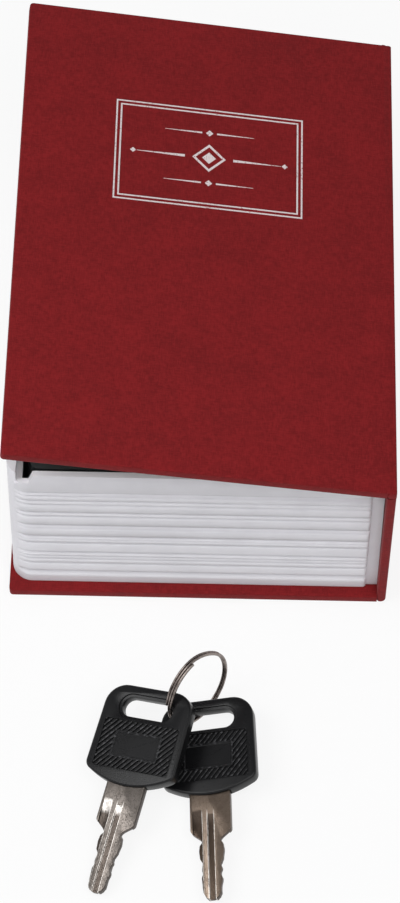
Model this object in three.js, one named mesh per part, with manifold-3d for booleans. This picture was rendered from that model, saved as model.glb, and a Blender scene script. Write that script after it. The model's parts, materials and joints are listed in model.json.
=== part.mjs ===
// A small book-shaped diversion safe with its two keys on a split ring.
// Millimetres, +Z up. The origin is on the table under the middle of the safe, the spine is
// on the +X side, the fore edge of the pages on the -X side, and the keys lie towards -Y.

import * as THREE from 'three';
import { mergeVertices } from 'three/addons/utils/BufferGeometryUtils.js';
import Module from 'manifold-3d';

const wasm = await Module();
wasm.setup();

// The closed book
const bookLength = 115;
const bookWidth = 80;
const bookThickness = 45;
const coverOpenDegrees = 9.1;

// Case: boards covered with cloth and lined with paper
const boardThickness = 1.7;
const spineBoardThickness = 1.2;
const clothThickness = 0.25;
const paperThickness = 0.15;
const glueGap = 0.1;
const turnInWidth = 3.2;
const cornerRadius = 1.5;
const spineFootRadius = 1.2;
const jointClearance = 0.4;

// Cloth joint between spine and front cover, drawn as a bead on the fold line
const beadRadius = 0.8;
const foldDrop = 1.2;
const foldClearance = 0.3;

// Double foil line stamped in the front cover
const foilFrameWidth = 40.4;
const foilFrameHeight = 26.1;
const foilFrameCentreY = 20.85;
const foilLineWidth = 0.35;
const foilLineSpacing = 0.95;
const foilThickness = 0.05;
const foilRecess = 0.15;

// Moulded page block, a wall on three sides of the box
const pageForeInset = 0.6;
const pageEndInset = 2.3;
const pageSpineClearance = 0.2;
const pageCoverClearance = 0.3;
const pageEndDraft = 1.8;
const pageForeDraft = 0.4;
const pageWall = 1.3;
const pageCornerRadius = 5;
const pageRimChamfer = 0.35;
const pageFootHeight = 1.2;
const pageFootReach = 2;
const pageFootClearance = 0.4;
const gutterWidth = 1.9;
const gutterDepth = 0.7;
const notchStart = 1.6;
const notchWidth = 2.6;
const notchFlare = 0.8;
const notchDepth = 2.7;
const pageGrooves = [
  { height: 6.3, depth: 0.35, reach: 1.3 },
  { height: 10.0, depth: 0.4, reach: 0.6 },
  { height: 11.9, depth: 0.35, reach: 0.6 },
  { height: 13.2, depth: 0.25, reach: 0.5 },
  { height: 15.1, depth: 0.35, reach: 1.0 },
  { height: 19.0, depth: 0.5, reach: 0.7 },
  { height: 21.6, depth: 0.3, reach: 0.9 },
  { height: 25.2, depth: 0.35, reach: 0.55 },
  { height: 26.5, depth: 0.5, reach: 0.6 },
  { height: 30.4, depth: 0.45, reach: 0.6 },
  { height: 32.1, depth: 0.3, reach: 0.8 },
  { height: 36.4, depth: 0.25, reach: 1.1 },
];

// Steel box with its hinged door
const steelThickness = 0.8;
const steelCornerRadius = 2;
const doorForeChannel = 3.5;
const doorEndClearance = 1.3;
const doorTopDrop = 1.3;
const doorFlangeDepth = 5;
const doorSpineFlangeStop = 2.5;
const trayFlangeClearance = 0.4;
const trayRimClearance = 0.3;
const rivetInset = 9;
const rivetHeadRadius = 2.2;
const rivetHeadHeight = 0.9;
const rivetRadius = 1.2;
const rivetClearance = 0.3;
const rivetDomeRadiusShare = 0.75;
const rivetDomeHeightShare = 0.7;

// Door hinge: two leaves rolled round one pin
const hingeKnuckleRadius = 1.3;
const hingePinRadius = 0.6;
const hingePinClearance = 0.15;
const hingeLeafThickness = 0.6;
const hingeLeafWidth = 10;
const hingeLength = 90;
const hingeKnuckles = 5;
const hingeKnuckleGap = 0.4;
const hingeSpineClearance = 4.2;
const hingeLeafClearance = 0.3;

// Cam lock in the door
const lockForeDistance = 12.2;
const lockHeadRadius = 7.7;
const lockHeadHeight = 1.15;
const lockHeadBevelWidth = 0.6;
const lockHeadBevelDrop = 0.45;
const lockMouthWidth = 0.9;
const lockMouthDrop = 0.4;
const lockBarrelRadius = 6;
const lockBarrelLength = 18.5;
const lockHoleClearance = 0.2;
const lockNutAcrossFlats = 17;
const lockNutHeight = 2.5;
const plugRadius = 4.25;
const plugClearance = 0.2;
const plugFaceDrop = 0.2;
const waferCount = 5;
const waferPitch = 2.6;
const waferThickness = 0.7;
const waferFirstDepth = 3.6;
const waferWidth = 7.2;
const waferHeight = 4.2;
const waferRim = 0.8;
const waferClearance = 0.15;
const tailSize = 4.4;
const camThickness = 1.5;
const camWidth = 8;
const camHeel = 4.6;
const camEngagement = 1.5;
const camTipBevel = 1;
const camClearance = 0.5;
const camScrewRadius = 1.3;
const camScrewClearance = 0.3;
const camScrewHeadRadius = 2.6;
const camScrewHeadHeight = 1.7;
const camScrewHeadBevel = 0.6;
const driveLength = 3.6;
const driveWidth = 0.7;
const driveDepth = 0.8;
const camScrewLength = 4.6;
const camWasherRadius = 3.4;
const camWasherThickness = 0.5;

// Keys
const headLength = 21.2;
const headSideLength = 18.1;
const headTopWidth = 19.3;
const headWidth = 20;
const headThickness = 3;
const headCornerRadius = 4.4;
const headEdgeBevel = 0.35;
const slotWidth = 11.3;
const slotHeight = 4.2;
const slotTopBar = 2.4;
const slotStepWidth = 0.6;
const slotStepDepth = 0.4;
const panelWidth = 16.7;
const panelHeight = 11.3;
const panelBorder = 3;
const panelDepth = 0.25;
const bladeThickness = 1.6;
const shoulderWidth = 8.4;
const shoulderLength = 7.4;
const bladeWidth = 5.2;
const bladeLength = 15.8;
const tangLength = 7;
const tangClearance = 0.25;
const bladeTipLength = 1.3;
const bladeTipWidth = 1.6;
const bladeGrooveWidth = 1.1;
const bladeGrooveDepth = 0.35;
const keywayClearance = 0.15;
const leftCuts = [
  { share: 0.17, depth: 0.65 },
  { share: 0.23, depth: 0.1 },
  { share: 0.3, depth: 0 },
  { share: 0.4, depth: 0.12 },
  { share: 0.475, depth: 0.67 },
  { share: 0.57, depth: 0.54 },
  { share: 0.63, depth: 0.65 },
  { share: 0.68, depth: 0.42 },
  { share: 0.8, depth: 0.53 },
  { share: 0.885, depth: 0.65 },
];
const rightCuts = [
  { share: 0.17, depth: 0.65 },
  { share: 0.22, depth: 0.15 },
  { share: 0.3, depth: 0 },
  { share: 0.42, depth: 0.2 },
  { share: 0.475, depth: 0.48 },
  { share: 0.51, depth: 0.76 },
  { share: 0.57, depth: 0.48 },
  { share: 0.64, depth: 0.82 },
  { share: 0.72, depth: 0.44 },
  { share: 0.83, depth: 0.73 },
  { share: 0.895, depth: 0.75 },
];

// Split ring: a flat wire wound almost two turns
const ringOuterRadius = 9.28;
const ringWireWidth = 0.75;
const ringWireHeight = 0.62;
const ringCoilGap = 0.42;
const ringStepsPerTurn = 24;
const ringCrossoverSteps = 3;

// How the keys and the ring lie on the table: each place is the point given, then turned
const rightKeyPlace = { x: 2.687, y: -84.007, z: 2.771, turn: 2.376, roll: -8.153, pitch: -1.3 };
const leftKeyPlace = { x: -8.035, y: -84.353, z: 9.885, turn: -18.043, roll: -16.203, pitch: 11.6 };
const ringPlace = { x: 0.759, y: -83.458, z: 9.054, heading: -38.056, tilt: 19.913, spin: 120 };

// Curves
const arcSteps = 5;
const roundSteps = 32;
const smallRoundSteps = 16;
const hexagonSides = 6;

// Corner points nearer than this are one, and cutting bodies run this far past a face
const mergeDistance = 1e-5;
const cutPast = 1;

// Heights and planes that several pieces share
const coverThickness = boardThickness + 2 * clothThickness + 2 * glueGap;
const rivetEndZ = clothThickness + glueGap + boardThickness / 2;
const spineThickness = spineBoardThickness + 2 * clothThickness + 2 * glueGap;
const halfLength = bookLength / 2;
const halfWidth = bookWidth / 2;
const spineInnerX = halfWidth - spineThickness;
const foldX = halfWidth - beadRadius;
const foldZ = bookThickness - foldDrop;
const frontEdgeX = foldX - beadRadius - foldClearance;
const backEdgeX = spineInnerX - jointClearance;
const spineTopZ = foldZ - beadRadius - foldClearance;
const pageBottomZ = coverThickness + glueGap;
const pageTopZ = bookThickness - coverThickness - pageCoverClearance;
const pageForeX = -halfWidth + pageForeInset;
const pageHalfLength = halfLength - pageEndInset;
const pageEndX = spineInnerX - pageSpineClearance;
const doorForeX = pageForeX + pageForeDraft + pageWall + doorForeChannel;
const doorHalfLength = pageHalfLength - pageEndDraft - pageWall - doorEndClearance;
const doorTopZ = pageTopZ - doorTopDrop;
const doorUnderZ = doorTopZ - steelThickness;
const hingeX = spineInnerX - hingeSpineClearance;
const hingeZ = doorUnderZ - glueGap - hingeKnuckleRadius;
const trayForeX = doorForeX + steelThickness + trayFlangeClearance;
const traySpineX = hingeX - hingeKnuckleRadius - glueGap;
const trayHalfLength = doorHalfLength - steelThickness - trayFlangeClearance;
const trayBottomZ = coverThickness + glueGap;
const trayRimZ = doorUnderZ - trayRimClearance;
const doorSpineX = hingeX - hingeKnuckleRadius - glueGap;
const lockX = doorForeX + lockForeDistance;
const lockHeadZ = doorTopZ + lockHeadHeight;
const barrelEndZ = doorTopZ - lockBarrelLength;
const plugFaceZ = lockHeadZ - plugFaceDrop;
const keyLength = headLength + shoulderLength + bladeLength;
const keywayWidth = bladeWidth + 2 * keywayClearance;
const keywayThickness = bladeThickness + 2 * keywayClearance;
const keywayEndZ = plugFaceZ - bladeLength - keywayClearance;
const camTopZ = barrelEndZ - glueGap;
const camUnderZ = camTopZ - camThickness;
const camReach = lockX - trayForeX + camEngagement;
const washerTopZ = camUnderZ - glueGap;
const camScrewTopZ = washerTopZ - camWasherThickness - glueGap;

const finishes = {
  cloth: { color: 0x7a2226, roughness: 0.7, metalness: 0 },
  board: { color: 0x9c917f, roughness: 0.95, metalness: 0 },
  paper: { color: 0xe6e1d6, roughness: 0.9, metalness: 0 },
  foil: { color: 0xc9c9cc, roughness: 0.3, metalness: 1 },
  pages: { color: 0xd6d4d9, roughness: 0.5, metalness: 0 },
  blackSteel: { color: 0x1c2021, roughness: 0.45, metalness: 0.2 },
  brightSteel: { color: 0xb8b8ba, roughness: 0.3, metalness: 1 },
  nickel: { color: 0x9a9088, roughness: 0.28, metalness: 1 },
  brass: { color: 0xb59a55, roughness: 0.35, metalness: 1 },
  headPlastic: { color: 0x19191b, roughness: 0.4, metalness: 0 },
};

// Turns a closed three.js geometry into a solid for cutting and joining
function toSolid(geometry) {
  const bare = geometry.clone();
  bare.deleteAttribute('normal');
  bare.deleteAttribute('uv');
  const merged = mergeVertices(bare, mergeDistance);
  const vertProperties = new Float32Array(merged.attributes.position.array);
  const triVerts = new Uint32Array(merged.index.array);
  return new wasm.Manifold(new wasm.Mesh({ numProp: 3, vertProperties, triVerts }));
}

function toGeometry(solid) {
  const { vertProperties, triVerts } = solid.getMesh();
  const geometry = new THREE.BufferGeometry();
  geometry.setAttribute('position', new THREE.BufferAttribute(vertProperties, 3));
  geometry.setIndex(new THREE.BufferAttribute(triVerts, 1));
  geometry.computeVertexNormals();
  return geometry;
}

function cut(base, ...tools) {
  let solid = toSolid(base);
  for (const tool of tools) {
    solid = solid.subtract(toSolid(tool));
  }
  return toGeometry(solid);
}

function join(first, ...others) {
  let solid = toSolid(first);
  for (const other of others) {
    solid = solid.add(toSolid(other));
  }
  return toGeometry(solid);
}

function part(name, geometry, finish) {
  const mesh = new THREE.Mesh(geometry, new THREE.MeshStandardMaterial(finish));
  mesh.name = name;
  return mesh;
}

function block(x0, x1, y0, y1, z0, z1) {
  const geometry = new THREE.BoxGeometry(x1 - x0, y1 - y0, z1 - z0);
  return geometry.translate((x0 + x1) / 2, (y0 + y1) / 2, (z0 + z1) / 2);
}

// An upright cylinder between two heights
function post(x, y, radius, z0, z1, steps = roundSteps) {
  const geometry = new THREE.CylinderGeometry(radius, radius, z1 - z0, steps);
  return geometry.rotateX(Math.PI / 2).translate(x, y, (z0 + z1) / 2);
}

// A cylinder along Y between two ends
function rod(x, z, radius, y0, y1, steps = roundSteps) {
  const geometry = new THREE.CylinderGeometry(radius, radius, y1 - y0, steps);
  return geometry.translate(x, (y0 + y1) / 2, z);
}

// A flat outline in X and Y, thickened between two heights
function plate(outline, z0, z1) {
  const settings = { depth: z1 - z0, bevelEnabled: false, curveSegments: arcSteps };
  return new THREE.ExtrudeGeometry(outline, settings).translate(0, 0, z0);
}

// An outline in X and Z, drawn out along Y
function barAlongY(outline, y0, y1) {
  const settings = { depth: y1 - y0, bevelEnabled: false, curveSegments: arcSteps };
  return new THREE.ExtrudeGeometry(outline, settings).rotateX(Math.PI / 2).translate(0, y1, 0);
}

// A round body about an upright axis, from points of radius and height
function turned(profile, x, y, steps = roundSteps) {
  const points = profile.map(([radius, height]) => new THREE.Vector2(radius, height));
  return new THREE.LatheGeometry(points, steps).rotateX(Math.PI / 2).translate(x, y, 0);
}

// A rectangle whose corners at its low-X side and at its high-X side are rounded
function rectangle(x0, x1, y0, y1, lowRadius = 0, highRadius = 0) {
  const shape = new THREE.Shape();
  shape.moveTo(x0 + lowRadius, y0);
  shape.lineTo(x1 - highRadius, y0);
  if (highRadius > 0) {
    shape.absarc(x1 - highRadius, y0 + highRadius, highRadius, -Math.PI / 2, 0);
    shape.lineTo(x1, y1 - highRadius);
    shape.absarc(x1 - highRadius, y1 - highRadius, highRadius, 0, Math.PI / 2);
  } else {
    shape.lineTo(x1, y1);
  }
  shape.lineTo(x0 + lowRadius, y1);
  if (lowRadius > 0) {
    shape.absarc(x0 + lowRadius, y1 - lowRadius, lowRadius, Math.PI / 2, Math.PI);
    shape.lineTo(x0, y0 + lowRadius);
    shape.absarc(x0 + lowRadius, y0 + lowRadius, lowRadius, Math.PI, 1.5 * Math.PI);
  } else {
    shape.lineTo(x0, y1);
    shape.lineTo(x0, y0);
  }
  return shape;
}

// Joins a row of equal rings of points into one closed body with a flat cap at each end
function loft(rings, section) {
  const count = section.length;
  const positions = rings.flat().flatMap((point) => [point.x, point.y, point.z]);
  const indices = [];
  for (let i = 0; i + 1 < rings.length; i += 1) {
    for (let j = 0; j < count; j += 1) {
      const near = i * count + j;
      const next = i * count + ((j + 1) % count);
      indices.push(near, next, next + count);
      indices.push(near, next + count, near + count);
    }
  }
  const last = (rings.length - 1) * count;
  for (const [a, b, c] of THREE.ShapeUtils.triangulateShape(section, [])) {
    indices.push(c, b, a);
    indices.push(last + a, last + b, last + c);
  }
  const geometry = new THREE.BufferGeometry();
  geometry.setAttribute('position', new THREE.Float32BufferAttribute(positions, 3));
  geometry.setIndex(indices);
  geometry.computeVertexNormals();
  return geometry;
}

// The cloth over a board: an outer sheet, its folded edges and the turned-in border.
// The board lies open at the side of the joint.
function clothWrap(edgeX, innerZ, outerZ) {
  const outward = Math.sign(outerZ - innerZ);
  const low = Math.min(innerZ, outerZ);
  const high = Math.max(innerZ, outerZ);
  const beyond = edgeX + turnInWidth;
  const inset = clothThickness;
  const cavityInner = innerZ + outward * clothThickness;
  const cavityOuter = outerZ - outward * clothThickness;
  const outline = rectangle(-halfWidth, edgeX, -halfLength, halfLength, cornerRadius);
  const cavity = rectangle(
    -halfWidth + inset, beyond, -halfLength + inset, halfLength - inset, cornerRadius - inset);
  const window = rectangle(
    -halfWidth + turnInWidth, beyond, -halfLength + turnInWidth, halfLength - turnInWidth);
  const cavityLow = Math.min(cavityInner, cavityOuter);
  const cavityHigh = Math.max(cavityInner, cavityOuter);
  const windowLow = Math.min(innerZ - outward * cutPast, cavityOuter);
  const windowHigh = Math.max(innerZ - outward * cutPast, cavityOuter);
  return cut(
    plate(outline, low, high),
    plate(cavity, cavityLow, cavityHigh),
    plate(window, windowLow, windowHigh));
}

// The stiff board inside a cloth wrap
function boardIn(edgeX, z0, z1) {
  const inset = clothThickness + glueGap;
  const outline = rectangle(
    -halfWidth + inset, edgeX, -halfLength + inset, halfLength - inset, cornerRadius - inset);
  return plate(outline, z0, z1);
}

// The lining paper that fills the window of a cloth wrap
function paperIn(edgeX, z0, z1) {
  const inset = turnInWidth + glueGap;
  return plate(rectangle(-halfWidth + inset, edgeX, -halfLength + inset, halfLength - inset), z0, z1);
}

function rivetPlaces() {
  const x = (traySpineX - trayForeX) / 2 - rivetInset;
  const y = trayHalfLength - rivetInset;
  const middle = (traySpineX + trayForeX) / 2;
  return [[middle - x, -y], [middle + x, -y], [middle + x, y], [middle - x, y]];
}

function rivetHoles(z0, z1) {
  return rivetPlaces().map(([x, y]) => post(x, y, rivetRadius + rivetClearance, z0, z1, smallRoundSteps));
}

function makeBackCover() {
  const boardBottom = clothThickness + glueGap;
  const boardTop = boardBottom + boardThickness;
  const paperBottom = boardTop + glueGap;
  const holeBottom = rivetEndZ - rivetClearance;
  const board = cut(boardIn(backEdgeX, boardBottom, boardTop), ...rivetHoles(holeBottom, coverThickness));
  const paper = cut(
    paperIn(backEdgeX, paperBottom, paperBottom + paperThickness), ...rivetHoles(boardTop, coverThickness));
  return [
    part('back_cloth', clothWrap(backEdgeX, coverThickness, 0), finishes.cloth),
    part('back_board', board, finishes.board),
    part('back_endpaper', paper, finishes.paper),
  ];
}

// The spine stands on the table; its cloth folds round both ends and under the foot
function spineOutline(inset) {
  const x0 = spineInnerX + inset;
  const x1 = halfWidth - inset;
  const foot = Math.max(spineFootRadius - inset, clothThickness);
  const heel = foot / 2;
  const shape = new THREE.Shape();
  shape.moveTo(x0 + heel, inset);
  shape.lineTo(x1 - foot, inset);
  shape.absarc(x1 - foot, inset + foot, foot, -Math.PI / 2, 0);
  shape.lineTo(x1, spineTopZ);
  shape.lineTo(x0, spineTopZ);
  shape.lineTo(x0, inset + heel);
  shape.absarc(x0 + heel, inset + heel, heel, Math.PI, 1.5 * Math.PI);
  return shape;
}

function makeSpine() {
  const inset = clothThickness + glueGap;
  const outer = barAlongY(spineOutline(0), -halfLength, halfLength);
  const cavity = block(
    spineInnerX + clothThickness, halfWidth - clothThickness,
    -halfLength + clothThickness, halfLength - clothThickness,
    spineFootRadius, bookThickness);
  const windowHalf = halfLength - turnInWidth;
  const window = block(
    spineInnerX - cutPast, spineInnerX + spineThickness / 2,
    -windowHalf, windowHalf,
    spineFootRadius, bookThickness);
  const board = block(
    spineInnerX + inset, halfWidth - inset,
    -halfLength + inset, halfLength - inset,
    spineFootRadius + glueGap, spineTopZ);
  return [
    part('spine_cloth', cut(outer, cavity, window), finishes.cloth),
    part('spine_board', board, finishes.board),
  ];
}

// How far a page wall leans inwards at a height
function lean(height, draft) {
  return (draft * (height - pageBottomZ)) / (pageTopZ - pageBottomZ);
}

// Inset and height of the page wall's section: grooved outside, plain inside, with a glued foot
function pageSection(draft) {
  const room = pageEndDraft + doorEndClearance + trayFlangeClearance + steelThickness;
  const foot = Math.min(pageFootReach, room - pageFootClearance);
  const points = [[0, pageBottomZ]];
  for (const groove of pageGrooves) {
    points.push([0, groove.height - groove.reach]);
    points.push([groove.depth, groove.height]);
    points.push([0, groove.height + groove.reach]);
  }
  points.push([0, pageTopZ - pageRimChamfer]);
  points.push([pageRimChamfer, pageTopZ]);
  points.push([pageWall - pageRimChamfer, pageTopZ]);
  points.push([pageWall, pageTopZ - pageRimChamfer]);
  points.push([pageWall, pageBottomZ + pageFootHeight]);
  points.push([pageWall + foot, pageBottomZ + pageFootHeight]);
  points.push([pageWall + foot, pageBottomZ]);
  points.reverse();
  return points.map(([inset, height]) => new THREE.Vector2(inset + lean(height, draft), height));
}

// Where the wall runs: along the far end, round the fore edge and back along the near end
function pageStations() {
  const stations = [{ x: pageEndX, y: pageHalfLength, inX: 0, inY: -1 }];
  for (const side of [1, -1]) {
    for (let step = 0; step <= arcSteps; step += 1) {
      const share = side > 0 ? step / arcSteps : 1 - step / arcSteps;
      const angle = (share * Math.PI) / 2;
      const inX = Math.sin(angle);
      const inY = -side * Math.cos(angle);
      const x = pageForeX + pageCornerRadius * (1 - inX);
      const y = side * (pageHalfLength - pageCornerRadius) - pageCornerRadius * inY;
      stations.push({ x, y, inX, inY });
    }
  }
  stations.push({ x: pageEndX, y: -pageHalfLength, inX: 0, inY: 1 });
  return stations;
}

function pageRing({ x, y, inX, inY }) {
  const draft = pageEndDraft * inY * inY + pageForeDraft * inX * inX;
  return pageSection(draft).map((point) => new THREE.Vector3(x + inX * point.x, y + inY * point.x, point.y));
}

// The plain strip beside the spine, cut back from the grooved face at one end of the block
function gutterCut(side) {
  const low = pageBottomZ - cutPast;
  const high = pageTopZ + cutPast;
  const section = [
    new THREE.Vector2(-cutPast, low),
    new THREE.Vector2(gutterDepth + lean(low, pageEndDraft), low),
    new THREE.Vector2(gutterDepth + lean(high, pageEndDraft), high),
    new THREE.Vector2(-cutPast, high),
  ];
  const xs = [pageEndX - gutterWidth, pageEndX + cutPast];
  if (side > 0) {
    xs.reverse();
  }
  const rings = xs.map((x) => section.map(
    (point) => new THREE.Vector3(x, side * (pageHalfLength - point.x), point.y)));
  return loft(rings, section);
}

// The finger notch in the rim at a fore-edge corner
function notchCut(side) {
  const left = pageForeX + notchStart;
  const right = left + notchWidth;
  const bottom = pageTopZ - notchDepth;
  const top = pageTopZ + cutPast;
  const flare = notchFlare * (1 + cutPast / notchDepth);
  const shape = new THREE.Shape();
  shape.moveTo(left, bottom);
  shape.lineTo(right, bottom);
  shape.lineTo(right + flare, top);
  shape.lineTo(left, top);
  const ends = [side * (pageHalfLength + cutPast), side * (pageHalfLength - pageCornerRadius)];
  return barAlongY(shape, Math.min(...ends), Math.max(...ends));
}

function makePageBlock() {
  const wall = loft(pageStations().map(pageRing), pageSection(pageEndDraft));
  const grooved = cut(wall, gutterCut(-1), gutterCut(1), notchCut(-1), notchCut(1));
  return part('page_block', grooved, finishes.pages);
}

// Width of the slot that the turning cam needs in the box wall, each side of the lock
function camSlotHalf() {
  const tipRadius = Math.hypot(camReach, camWidth / 2);
  const wallDistance = lockX - trayForeX - steelThickness;
  return Math.sqrt(tipRadius * tipRadius - wallDistance * wallDistance) + camClearance;
}

function makeTray() {
  const wall = steelThickness;
  const inner = steelCornerRadius - wall;
  const outline = rectangle(
    trayForeX, traySpineX, -trayHalfLength, trayHalfLength, steelCornerRadius, steelCornerRadius);
  const hollow = rectangle(
    trayForeX + wall, traySpineX - wall, -trayHalfLength + wall, trayHalfLength - wall, inner, inner);
  const leafUnderZ = doorUnderZ - glueGap - hingeLeafThickness;
  const spineWallCut = block(
    traySpineX - wall - glueGap, traySpineX + cutPast,
    -trayHalfLength + steelCornerRadius, trayHalfLength - steelCornerRadius,
    leafUnderZ - trayRimClearance, doorTopZ);
  const slotHalf = camSlotHalf();
  const camSlot = block(
    trayForeX - cutPast, trayForeX + wall + glueGap,
    -slotHalf, slotHalf,
    camUnderZ - camClearance, camTopZ + camClearance);
  return cut(
    plate(outline, trayBottomZ, trayRimZ),
    plate(hollow, trayBottomZ + wall, doorTopZ),
    spineWallCut,
    camSlot,
    ...rivetHoles(0, trayBottomZ + 2 * wall));
}

function makeRivets() {
  const headBottom = trayBottomZ + steelThickness + glueGap;
  const profile = [
    [0, rivetEndZ],
    [rivetRadius, rivetEndZ],
    [rivetRadius, headBottom],
    [rivetHeadRadius, headBottom],
    [rivetHeadRadius * rivetDomeRadiusShare, headBottom + rivetHeadHeight * rivetDomeHeightShare],
    [0, headBottom + rivetHeadHeight],
  ];
  return rivetPlaces().map(
    ([x, y], i) => part(`box_rivet_${i + 1}`, turned(profile, x, y, smallRoundSteps), finishes.brightSteel));
}

// Start and end of each knuckle along the hinge
function knuckleSpan(index) {
  const pitch = hingeLength / hingeKnuckles;
  const start = -hingeLength / 2 + index * pitch;
  return [start + hingeKnuckleGap / 2, start + pitch - hingeKnuckleGap / 2];
}

// One hinge leaf: a sheet with its own knuckles, cleared where the other leaf's knuckles turn
function hingeLeaf(sheet, ownKnuckles, clearAt) {
  let solid = toSolid(sheet);
  for (let index = 0; index < hingeKnuckles; index += 1) {
    const [start, end] = knuckleSpan(index);
    if (ownKnuckles.includes(index)) {
      solid = solid.add(toSolid(rod(hingeX, hingeZ, hingeKnuckleRadius, start, end, smallRoundSteps)));
    } else {
      solid = solid.subtract(toSolid(clearAt(start - hingeKnuckleGap, end + hingeKnuckleGap)));
    }
  }
  const boreRadius = hingePinRadius + hingePinClearance;
  const bore = rod(hingeX, hingeZ, boreRadius, -hingeLength, hingeLength, smallRoundSteps);
  return toGeometry(solid.subtract(toSolid(bore)));
}

function makeTrayLeaf() {
  const x0 = hingeX - hingeKnuckleRadius;
  const x1 = x0 + hingeLeafThickness;
  const half = hingeLength / 2 - hingeKnuckleGap / 2;
  const sheet = block(x0, x1, -half, half, hingeZ - hingeLeafWidth, hingeZ);
  const clearZ = hingeZ - hingeKnuckleRadius - hingeLeafClearance;
  const clearAt = (y0, y1) => block(x0 - cutPast, x1 + cutPast, y0, y1, clearZ, hingeZ + cutPast);
  return hingeLeaf(sheet, [0, 2, 4], clearAt);
}

function makeDoorLeaf() {
  const z1 = hingeZ + hingeKnuckleRadius;
  const z0 = z1 - hingeLeafThickness;
  const half = hingeLength / 2 - hingeKnuckleGap / 2;
  const sheet = block(hingeX - hingeLeafWidth, hingeX, -half, half, z0, z1);
  const clearX = hingeX - hingeKnuckleRadius - hingeLeafClearance;
  const clearAt = (y0, y1) => block(clearX, hingeX + cutPast, y0, y1, z0 - cutPast, z1 + cutPast);
  return hingeLeaf(sheet, [1, 3], clearAt);
}

function makeHingePin() {
  return rod(hingeX, hingeZ, hingePinRadius, -hingeLength / 2, hingeLength / 2, smallRoundSteps);
}

// The door is a folded lid: flat, with a flange down outside the box on three sides
function makeDoorPanel() {
  const wall = steelThickness;
  const inner = steelCornerRadius - wall;
  const outline = rectangle(doorForeX, doorSpineX, -doorHalfLength, doorHalfLength, steelCornerRadius);
  const hollow = rectangle(
    doorForeX + wall, doorSpineX + cutPast, -doorHalfLength + wall, doorHalfLength - wall, inner);
  const flangeBottomZ = doorTopZ - doorFlangeDepth;
  const flangeStop = block(
    doorSpineX - doorSpineFlangeStop, doorSpineX + cutPast,
    -doorHalfLength - cutPast, doorHalfLength + cutPast,
    flangeBottomZ - cutPast, doorUnderZ);
  const lockHole = post(lockX, 0, lockBarrelRadius + lockHoleClearance, flangeBottomZ, doorTopZ + cutPast);
  return cut(
    plate(outline, flangeBottomZ, doorTopZ),
    plate(hollow, flangeBottomZ - cutPast, doorUnderZ),
    flangeStop,
    lockHole);
}

function makeLockHousing() {
  const bore = plugRadius + plugClearance;
  const headBottom = doorTopZ + glueGap;
  const profile = [
    [bore, barrelEndZ],
    [lockBarrelRadius, barrelEndZ],
    [lockBarrelRadius, headBottom],
    [lockHeadRadius, headBottom],
    [lockHeadRadius, lockHeadZ - lockHeadBevelDrop],
    [lockHeadRadius - lockHeadBevelWidth, lockHeadZ],
    [bore + lockMouthWidth, lockHeadZ],
    [bore, lockHeadZ - lockMouthDrop],
    [bore, barrelEndZ],
  ];
  return turned(profile, lockX, 0);
}

function makeLockNut() {
  const top = doorUnderZ - glueGap;
  const radius = lockNutAcrossFlats / Math.sqrt(3);
  const hexagon = post(lockX, 0, radius, top - lockNutHeight, top, hexagonSides);
  const bore = lockBarrelRadius + lockHoleClearance;
  return cut(hexagon, post(lockX, 0, bore, top - lockNutHeight - cutPast, top + cutPast));
}

// Height of the middle of each wafer, counted down from the plug's face
function waferZ(index) {
  return plugFaceZ - waferFirstDepth - index * waferPitch;
}

function makePlug() {
  const halfTail = tailSize / 2;
  const tail = block(
    lockX - halfTail, lockX + halfTail,
    -halfTail, halfTail,
    camUnderZ + glueGap, barrelEndZ + cutPast);
  const body = join(post(lockX, 0, plugRadius, barrelEndZ, plugFaceZ), tail);
  const keyway = block(
    lockX - keywayWidth / 2, lockX + keywayWidth / 2,
    -keywayThickness / 2, keywayThickness / 2,
    keywayEndZ, plugFaceZ + cutPast);
  const slots = [];
  for (let index = 0; index < waferCount; index += 1) {
    const half = waferThickness / 2 + waferClearance;
    const halfSlot = waferHeight / 2 + waferClearance;
    slots.push(block(
      lockX - plugRadius - cutPast, lockX + plugRadius + cutPast,
      -halfSlot, halfSlot,
      waferZ(index) - half, waferZ(index) + half));
  }
  const screwHoleRadius = camScrewRadius + camScrewClearance;
  const screwHole = post(
    lockX, 0, screwHoleRadius,
    camUnderZ - cutPast, camScrewTopZ + camScrewLength, smallRoundSteps);
  return cut(body, keyway, screwHole, ...slots);
}

function makeWafers() {
  const wafers = [];
  for (let index = 0; index < waferCount; index += 1) {
    const z0 = waferZ(index) - waferThickness / 2;
    const z1 = waferZ(index) + waferThickness / 2;
    const halfWidthX = waferWidth / 2;
    const halfHeightY = waferHeight / 2;
    const blank = block(lockX - halfWidthX, lockX + halfWidthX, -halfHeightY, halfHeightY, z0, z1);
    const window = block(
      lockX - halfWidthX + waferRim, lockX + halfWidthX - waferRim,
      -halfHeightY + waferRim, halfHeightY - waferRim,
      z0 - cutPast, z1 + cutPast);
    wafers.push(part(`wafer_${index + 1}`, cut(blank, window), finishes.brass));
  }
  return wafers;
}

// The cam points along the box while the lock is open, and a quarter turn puts it in the wall
function makeCam() {
  const outline = new THREE.Shape();
  const half = camWidth / 2;
  const corner = half / 2;
  outline.moveTo(lockX - half, -camHeel + corner);
  outline.quadraticCurveTo(lockX - half, -camHeel, lockX - half + corner, -camHeel);
  outline.lineTo(lockX + half - corner, -camHeel);
  outline.quadraticCurveTo(lockX + half, -camHeel, lockX + half, -camHeel + corner);
  outline.lineTo(lockX + half, camReach - camTipBevel);
  outline.lineTo(lockX + half - camTipBevel, camReach);
  outline.lineTo(lockX - half + camTipBevel, camReach);
  outline.lineTo(lockX - half, camReach - camTipBevel);
  const halfHole = tailSize / 2 + plugClearance;
  const hole = block(
    lockX - halfHole, lockX + halfHole,
    -halfHole, halfHole,
    camUnderZ - cutPast, camTopZ + cutPast);
  return cut(plate(outline, camUnderZ, camTopZ), hole);
}

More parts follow.
